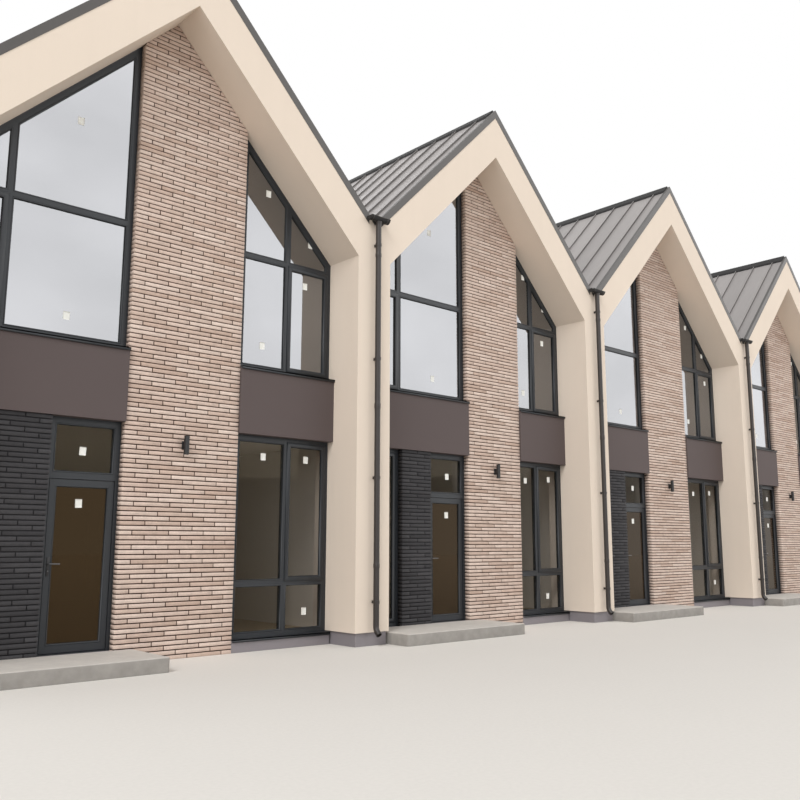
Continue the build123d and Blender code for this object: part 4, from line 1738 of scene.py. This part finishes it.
@dataclass
class Rainwater:
    """Smooth pipes with sockets and open shoes, and rims and straps of the hoppers.

    Attributes:
        row: The row's sizes.
        finishes: The row's finishes.
        diameter: Outer diameter of the pipes.
        wall: Thickness of the sheet.
        offset: Distance of the pipes' axes from the face of the row.
        end_offset: Distance of the outer pipes from the ends of the row.
        foot: Level of the shoe's lower end over the ground.
        shoe_height: Height of the shoe.
        shoe_reach: Reach of the shoe.
        bend_rise: Rise of the straight pipe's end over the elbow.
        sides: Number of sides of a pipe.
        outlet: How far the outlet widens the pipe, and over what length.
        socket: How far a socket stands out, and half its length.
        socket_start: Distance of the first socket from the top.
        socket_pitch: Distance between the sockets.
        socket_foot: Least height of a socket over the elbow.
        mouth: Depth of the open mouth that shows.
        lap: How far a pipe reaches into its hopper.
        hopper_length: Length of a hopper.
        hopper_radius: Outer radius of a hopper.
        rim: Radius of the rolled rim.
        strap_place: Distance of the straps from a hopper's ends.
        strap_half: Half the width of a strap.
        strap_depths: How far a strap reaches out of the hopper and into it.
    """

    row: HouseRow
    finishes: Finishes
    diameter: float = 0.087
    wall: float = 0.003
    offset: float = 0.088
    end_offset: float = 0.11
    foot: float = 0.08
    shoe_height: float = 0.15
    shoe_reach: float = 0.07
    bend_rise: float = 0.12
    sides: int = 28
    outlet: tuple[float, float] = (0.009, 0.05)
    socket: tuple[float, float] = (0.0045, 0.075)
    socket_start: float = 0.5
    socket_pitch: float = 2.35
    socket_foot: float = 0.2
    mouth: float = 0.06
    lap: float = 0.004
    hopper_length: float = 0.38
    hopper_radius: float = 0.063
    rim: float = 0.008
    strap_place: float = 0.05
    strap_half: float = 0.012
    strap_depths: tuple[float, float] = (0.003, 0.001)

    def lines(self) -> list[float]:
        """X places of the pipes."""
        return [self.row.left + self.end_offset, *self.row.party_lines, self.row.right - self.end_offset]

    def pipe(self, x: float, y: float, out: int, top: float) -> Shape:
        """One pipe from its outlet to the open mouth of its shoe.

        The radius is the pipe's own, widened at the outlet and at each socket by a smooth step, and it
        turns inwards at the mouth to show the sheet's edge and the bore.

        Args:
            x: X place of the axis.
            y: Y place of the axis.
            out: Outward direction along Y.
            top: Underside of the hopper.

        Returns:
            The pipe as one closed tube.
        """
        radius = self.diameter / 2
        elbow = self.foot + self.shoe_height
        straight = np.arange(top, elbow + self.bend_rise, -0.02)
        upright = np.column_stack([np.full(len(straight), x), np.full(len(straight), y), straight])
        corners = np.array([
            (x, y, elbow + self.bend_rise),
            (x, y, elbow),
            (x, y + out * self.shoe_reach, elbow - self.shoe_reach),
        ])
        bend = rounded_path(corners, self.diameter * 0.62, 9)
        path = np.concatenate([upright, bend[1:]])
        below = top - path[:, 2]
        outlet = self.outlet[0] * np.clip(1 - below / self.outlet[1], 0, 1)
        at_socket = (below - self.socket_start) % self.socket_pitch < self.socket[1]
        socket = self.socket[0] * at_socket * (path[:, 2] > elbow + self.socket_foot)
        ahead = path[-1] - path[-2]
        ahead /= np.linalg.norm(ahead)
        bore = path[-1] - ahead * np.linspace(0.0, self.mouth, 3)[:, None]
        rings = np.concatenate([radius + outlet + socket, np.full(3, radius - self.wall)])
        return self.with_mouth(np.concatenate([path, bore]), rings, ahead)

    def with_mouth(self, path: np.ndarray, radius: np.ndarray, ahead: np.ndarray) -> Shape:
        """A tube whose last three rings run back inside it.

        They and the ring at the mouth keep the mouth's own direction.

        Args:
            path: Points along the axis, out to the mouth and back inside.
            radius: Radius at each point.
            ahead: Direction at the mouth.

        Returns:
            The tube.
        """
        shape = tube(path, radius, self.sides)
        points = shape.points.reshape(len(path), self.sides, 3)
        points[-4:] = path[-4:, None, :] + radius[-4:, None, None] * wheels(ahead[None, :], self.sides)
        return Shape(points.reshape(-1, 3), shape.faces)

    def hopper_trim(self, left: float, right: float, y: float, rim: float, out: int) -> list[Shape]:
        """Rolled rim and two straps of one hopper.

        Args:
            left: Left end of the hopper.
            right: Right end of the hopper.
            y: Y place of its axis.
            rim: Level of its rim.
            out: Outward direction along Y.

        Returns:
            The rim and the straps, each strap half a turn round the hopper.
        """
        outer = self.hopper_radius
        front_y = y + out * outer
        path = np.array([(left, front_y, rim), ((left + right) / 2, front_y, rim), (right, front_y, rim)])
        shapes = [tube(path, np.full(3, self.rim), 14)]
        turn = np.linspace(0.0, math.pi, 15)
        proud, sunk = self.strap_depths
        edges = [
            np.column_stack([y - out * reach * np.cos(turn), rim - reach * np.sin(turn)])
            for reach in (outer + proud, outer - sunk)
        ]
        outline = np.concatenate([edges[0], edges[1][::-1]])
        for x in (left + self.strap_place, right - self.strap_place):
            strap = strip_ring(outline, len(turn), x - self.strap_half, x + self.strap_half)
            shapes.append(strap if out < 0 else strap.flipped())
        return shapes

    def build(self) -> None:
        """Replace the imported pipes, and trim the hoppers."""
        row = self.row
        low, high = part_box("hoppers")
        half = self.hopper_length / 2
        ranges = [
            (row.left, row.left + half),
            *((line - half, line + half) for line in row.party_lines),
            (row.right - half, row.right),
        ]
        pipes, trims = [], []
        for face in Face:
            out = face.value
            y = (row.front if face is Face.FRONT else row.back) + out * self.offset
            pipes += [self.pipe(x, y, out, low.z + self.lap) for x in self.lines()]
            for left, right in ranges:
                trims += self.hopper_trim(left, right, y, high.z, out)
        add_piece(
            "round_downpipes", joined(pipes), self.finishes.pipe,
            stands_for=["downpipes"], smooth_angle=35,
        )
        add_piece("hopper_rims_and_straps", joined(trims), self.finishes.pipe, smooth_angle=40)


def strip_ring(outline: np.ndarray, width: int, low_x: float, high_x: float) -> Shape:
    """A bent strip carried along X.

    Args:
        outline: Corners in Y and Z: one edge of the strip, then the other one backwards.
        width: Number of corners in one edge.
        low_x: Place of the low end.
        high_x: Place of the high end.

    Returns:
        The strip with its walls, and its two ends as rows of quads.
    """
    count = len(outline)
    low = np.column_stack([np.full(count, low_x), outline])
    high = low + (high_x - low_x, 0.0, 0.0)
    walls = grid_faces(2, count, False, True)
    step = np.arange(width - 1)
    near = np.column_stack([step, step + 1, count - 2 - step, count - 1 - step])
    return Shape(np.concatenate([low, high]), [walls[:, ::-1], near, near[:, ::-1] + count])


@dataclass
class WallLights:
    """Upright cylinder lights that shine up and down the piers.

    Attributes:
        row: The row's sizes.
        finishes: The row's finishes.
        sides: Number of sides of a turned body.
        radius: Radius of a body.
        lip: Width of the rim round a lens.
        well: Depth of a lens in the body.
        edge: Radius of the fine edges.
        groove: Depth of the groove round the middle.
        arm: Half the width and the height of the arm to the wall.
        plate: Half the width and the height of the plate on the wall.
        plate_depths: How far the plate stands out of the wall and reaches into it.
    """

    row: HouseRow
    finishes: Finishes
    sides: int = 40
    radius: float = 0.035
    lip: float = 0.004
    well: float = 0.014
    edge: float = 0.001
    groove: float = 0.0012
    arm: tuple[float, float] = (0.02, 0.09)
    plate: tuple[float, float] = (0.03, 0.11)
    plate_depths: tuple[float, float] = (0.012, 0.004)

    def body(self, length: float) -> np.ndarray:
        """Section of a turned body, open to a lens at both ends.

        Args:
            length: Length of the body.

        Returns:
            Pairs of radius and height from the lower lens to the upper one.
        """
        outer, edge, well = self.radius, self.edge, self.well
        bore, waist, middle = outer - self.lip, outer - self.groove, length / 2
        return np.array([
            (0.0, well), (bore - edge, well), (bore, well - edge), (bore, 2 * edge),
            (bore + edge, 0.0), (outer - edge, 0.0), (outer, edge),
            (outer, middle - 0.004), (waist, middle - 0.003),
            (waist, middle + 0.003), (outer, middle + 0.004),
            (outer, length - edge), (outer - edge, length), (bore + edge, length),
            (bore, length - 2 * edge), (bore, length - well + edge),
            (bore - edge, length - well), (0.0, length - well),
        ])

    def build(self) -> None:
        """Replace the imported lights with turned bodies, set lenses and rounded brackets."""
        low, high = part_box("wall_lights")
        y = low.y + self.radius
        wall = self.row.wall_face[Face.FRONT]
        middle = (low.z + high.z) / 2
        proud, sunk = self.plate_depths
        rim = self.radius - self.lip - 0.0015
        lens = np.array([(0.0, 0.0), (rim, 0.0), (rim, 0.003), (0.0, 0.006)])
        bodies, lenses = [], []
        for house in self.row.houses:
            x = (house.pier_left + house.pier_right) / 2
            bodies.append(lathe(self.body(high.z - low.z), (x, y, low.z), self.sides))
            half, height = self.arm
            arm = rounded_slab((x - half, x + half), (y, wall), height, 0.006, 0.004)
            bodies.append(arm.moved((0.0, 0.0, middle - height / 2)))
            half, height = self.plate
            plate = rounded_slab((x - half, x + half), (wall - proud, wall + sunk), height, 0.004, 0.003)
            bodies.append(plate.moved((0.0, 0.0, middle - height / 2)))
            lenses.append(lathe(lens, (x, y, high.z - self.well), self.sides))
            lenses.append(lathe(lens[::-1] * (1.0, -1.0), (x, y, low.z + self.well), self.sides))
        pieces = {
            "turned_wall_lights": (bodies, self.finishes.black),
            "light_lenses": (lenses, self.finishes.lens),
        }
        for name, (shapes, finish) in pieces.items():
            stands = ["wall_lights"]
            add_piece(name, joined(shapes), finish, stands_for=stands, smooth_angle=35)


@dataclass
class Steps:
    """Cast concrete steps with rounded edges in front of the doors.

    Attributes:
        row: The row's sizes.
        finishes: The row's finishes.
        start_gap: Distance of a step from the pilaster on its left.
        past_pier: How far it reaches past the pier's left side.
        corner: Radius of its corners in plan.
        edge: Radius of its upper edge.
    """

    row: HouseRow
    finishes: Finishes
    start_gap: float = 0.01
    past_pier: float = 0.24
    corner: float = 0.03
    edge: float = 0.014

    def build(self) -> None:
        """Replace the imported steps."""
        low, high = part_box("entrance_steps")
        half = self.row.pilaster / 2
        slabs = [
            rounded_slab(
                (house.left + half + self.start_gap, house.pier_left + self.past_pier),
                (low.y, high.y), high.z, self.corner, self.edge,
            )
            for house in self.row.houses
        ]
        add_piece(
            "rounded_steps", joined(slabs), self.finishes.step,
            stands_for=["entrance_steps"], smooth_angle=40,
        )


def dress_nodes(nodes: dict[str, bpy.types.Object], finishes: Finishes) -> None:
    """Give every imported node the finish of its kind.

    Args:
        nodes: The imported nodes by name.
        finishes: The row's finishes.
    """
    kinds = {
        "ground_floors": finishes.concrete,
        "upper_floors": finishes.plaster,
        "party_walls": finishes.plaster,
        "end_walls": finishes.render,
        "pilasters": finishes.render,
        "pilaster_plinths": finishes.plinth,
        "bay_plinths": finishes.plinth,
        "ridge_caps": finishes.ridge,
        "valley_gutters": finishes.trim,
        "hoppers": finishes.ridge,
        "downpipes": finishes.pipe,
        "pipe_clips": finishes.pipe,
        "brick_piers": finishes.light_brick,
        "dark_brick_panels": finishes.dark_brick,
        "spandrels": finishes.spandrel,
        "window_sills": finishes.frame,
        "upper_frames": finishes.frame,
        "lower_frames": finishes.frame,
        "upper_panes": finishes.sky_glass,
        "lower_panes": finishes.room_glass,
        "door_jambs": finishes.frame,
        "door_thresholds": finishes.frame,
        "door_hinges": finishes.black,
        "wall_lights": finishes.black,
        "entrance_steps": finishes.step,
    }
    for side in ("left", "right"):
        kinds[f"{side}_rakes"] = finishes.render
        kinds[f"{side}_roof_decks"] = finishes.ceiling
        kinds[f"{side}_roof_sheets"] = finishes.roof
        kinds[f"{side}_verge_trims"] = finishes.trim
    for number in range(1, 5):
        kinds[f"door_{number}_leaf"] = finishes.frame
        kinds[f"door_{number}_glass"] = finishes.door_glass
        kinds[f"door_{number}_handles"] = finishes.black
    for name, node in nodes.items():
        finish_node(node, kinds[name])
        LOG.info("node %s: %s", name, kinds[name].name)


@dataclass
class Studio:
    """Camera, floor, lamps and world.

    Attributes:
        row: The row's sizes.
        eye: Camera place from the low corner of the front face.
        yaw: Turn of the view from straight ahead towards the right.
        pitch: Rise of the view over the horizon.
        roll: Tilt of the picture.
        focal_pixels: Focal length in pixels of a picture of the stated width.
        picture: Width of the picture in pixels.
        sensor: Width of the camera's sensor in millimetres.
        floor_reach: Radius of the floor.
        box_width: Width of a soft box.
        box_height: Height of a soft box.
        box_foot: Height of its lower edge.
        box_reach: Distance of its middle from the row.
        box_level: Brightness of its face, where white paper in plain light is 1.
        sun_level: Strength of the faint sun.
        world_level: Strength of the world's even light.
    """

    row: HouseRow
    eye: tuple[float, float, float] = (-1.961, -9.716, 1.472)
    yaw: float = 0.736
    pitch: float = 0.1642
    roll: float = -0.0022
    focal_pixels: float = 858.2
    picture: float = 800.0
    sensor: float = 36.0
    floor_reach: float = 92.0
    box_width: float = 140.0
    box_height: float = 90.0
    box_foot: float = 10.0
    box_reach: float = 100.0
    box_level: float = 1.55
    sun_level: float = 1.2
    world_level: float = 0.3

    def camera(self) -> None:
        """Stand the camera where the photograph was taken."""
        data = bpy.data.cameras.new("street_view")
        data.sensor_width = self.sensor
        data.lens = self.focal_pixels / self.picture * self.sensor
        data.clip_end = 400.0
        view = bpy.data.objects.new("street_view", data)
        bpy.context.scene.collection.objects.link(view)
        view.location = (self.row.left + self.eye[0], self.row.front + self.eye[1], self.eye[2])
        view.rotation_euler = (math.pi / 2 + self.pitch, self.roll, -self.yaw)
        bpy.context.scene.camera = view

    def floor(self) -> None:
        """A wide round pale floor under the row: reach (cos t, sin t), just under the ground level."""
        turn = np.linspace(0.0, 2 * math.pi, 96, endpoint=False)
        rim = self.floor_reach * np.column_stack([np.cos(turn), np.sin(turn), np.zeros_like(turn)])
        mesh = bpy.data.meshes.new("floor")
        mesh.from_pydata(rim - (0.0, 0.0, 0.002), [], [np.arange(len(turn))])
        ground = bpy.data.objects.new("floor", mesh)
        bpy.context.scene.collection.objects.link(ground)
        finish = MineralFinish("pale_floor", linear(226, 222, 216), 0.95, grain=40.0, cloud=0.02)
        mesh.materials.append(finish.material())

    def lamps(self) -> None:
        """Four large soft boxes far out on the diagonals, and a faint high sun for the joints."""
        for index in range(4):
            turn = math.radians(45 + 90 * index)
            box = bpy.data.lights.new(f"soft_box_{index + 1}", "AREA")
            box.shape = "RECTANGLE"
            box.size, box.size_y = self.box_width, self.box_height
            box.energy = self.box_level * math.pi * self.box_width * self.box_height
            lamp = bpy.data.objects.new(box.name, box)
            middle = self.box_foot + self.box_height / 2
            lamp.location = (self.box_reach * math.cos(turn), self.box_reach * math.sin(turn), middle)
            lamp.rotation_euler = (math.pi / 2, 0.0, turn + math.pi / 2)
            bpy.context.scene.collection.objects.link(lamp)
        sun = bpy.data.lights.new("faint_sun", "SUN")
        sun.energy = self.sun_level
        sun.angle = math.radians(20)
        lamp = bpy.data.objects.new("faint_sun", sun)
        lamp.rotation_euler = (math.radians(45), 0.0, math.radians(-60))
        bpy.context.scene.collection.objects.link(lamp)

    def world(self) -> None:
        """Soft even light, and a white background to the camera, to mirrors and through glass."""
        world = bpy.data.worlds.new("plain_white")
        graph = Graph(world)
        rays = [
            graph.node("ShaderNodeLightPath", output=f"Is {name} Ray")
            for name in ("Camera", "Glossy", "Transmission")
        ]
        seen = rays[0] + rays[1] + rays[2]
        soft, white = (
            graph.node("ShaderNodeBackground", {}, {"Color": (1.0, 1.0, 1.0), "Strength": level})
            for level in (self.world_level, 1.0)
        )
        both = graph.node("ShaderNodeMixShader", {}, {0: seen, 1: soft, 2: white})
        graph.node_output("ShaderNodeOutputWorld", both)
        bpy.context.scene.world = world

    def build(self) -> None:
        """Set the whole studio."""
        self.camera()
        self.floor()
        self.lamps()
        self.world()
        bpy.context.scene.view_settings.view_transform = "Standard"


def main() -> None:
    """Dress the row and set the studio."""
    logging.basicConfig(level=logging.INFO, format="%(name)s: %(message)s")
    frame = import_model()
    row = HouseRow()
    roof = SheetFinish("roof_sheet", linear(153, 148, 146), 0.42, row.first_seam, row.seam_pitch)
    finishes = Finishes(roof)
    dress_nodes(frame["nodes"], finishes)
    windows = Windows(row, finishes)
    windows.build()
    door_lefts = [windows.door_left(house) for house in row.houses]
    BrickWork(row, finishes).build(windows.side_window, door_lefts)
    Doors(row, finishes).build()
    Rainwater(row, finishes).build()
    WallLights(row, finishes).build()
    Steps(row, finishes).build()
    Studio(row).build()


if __name__ == "__main__":
    main()
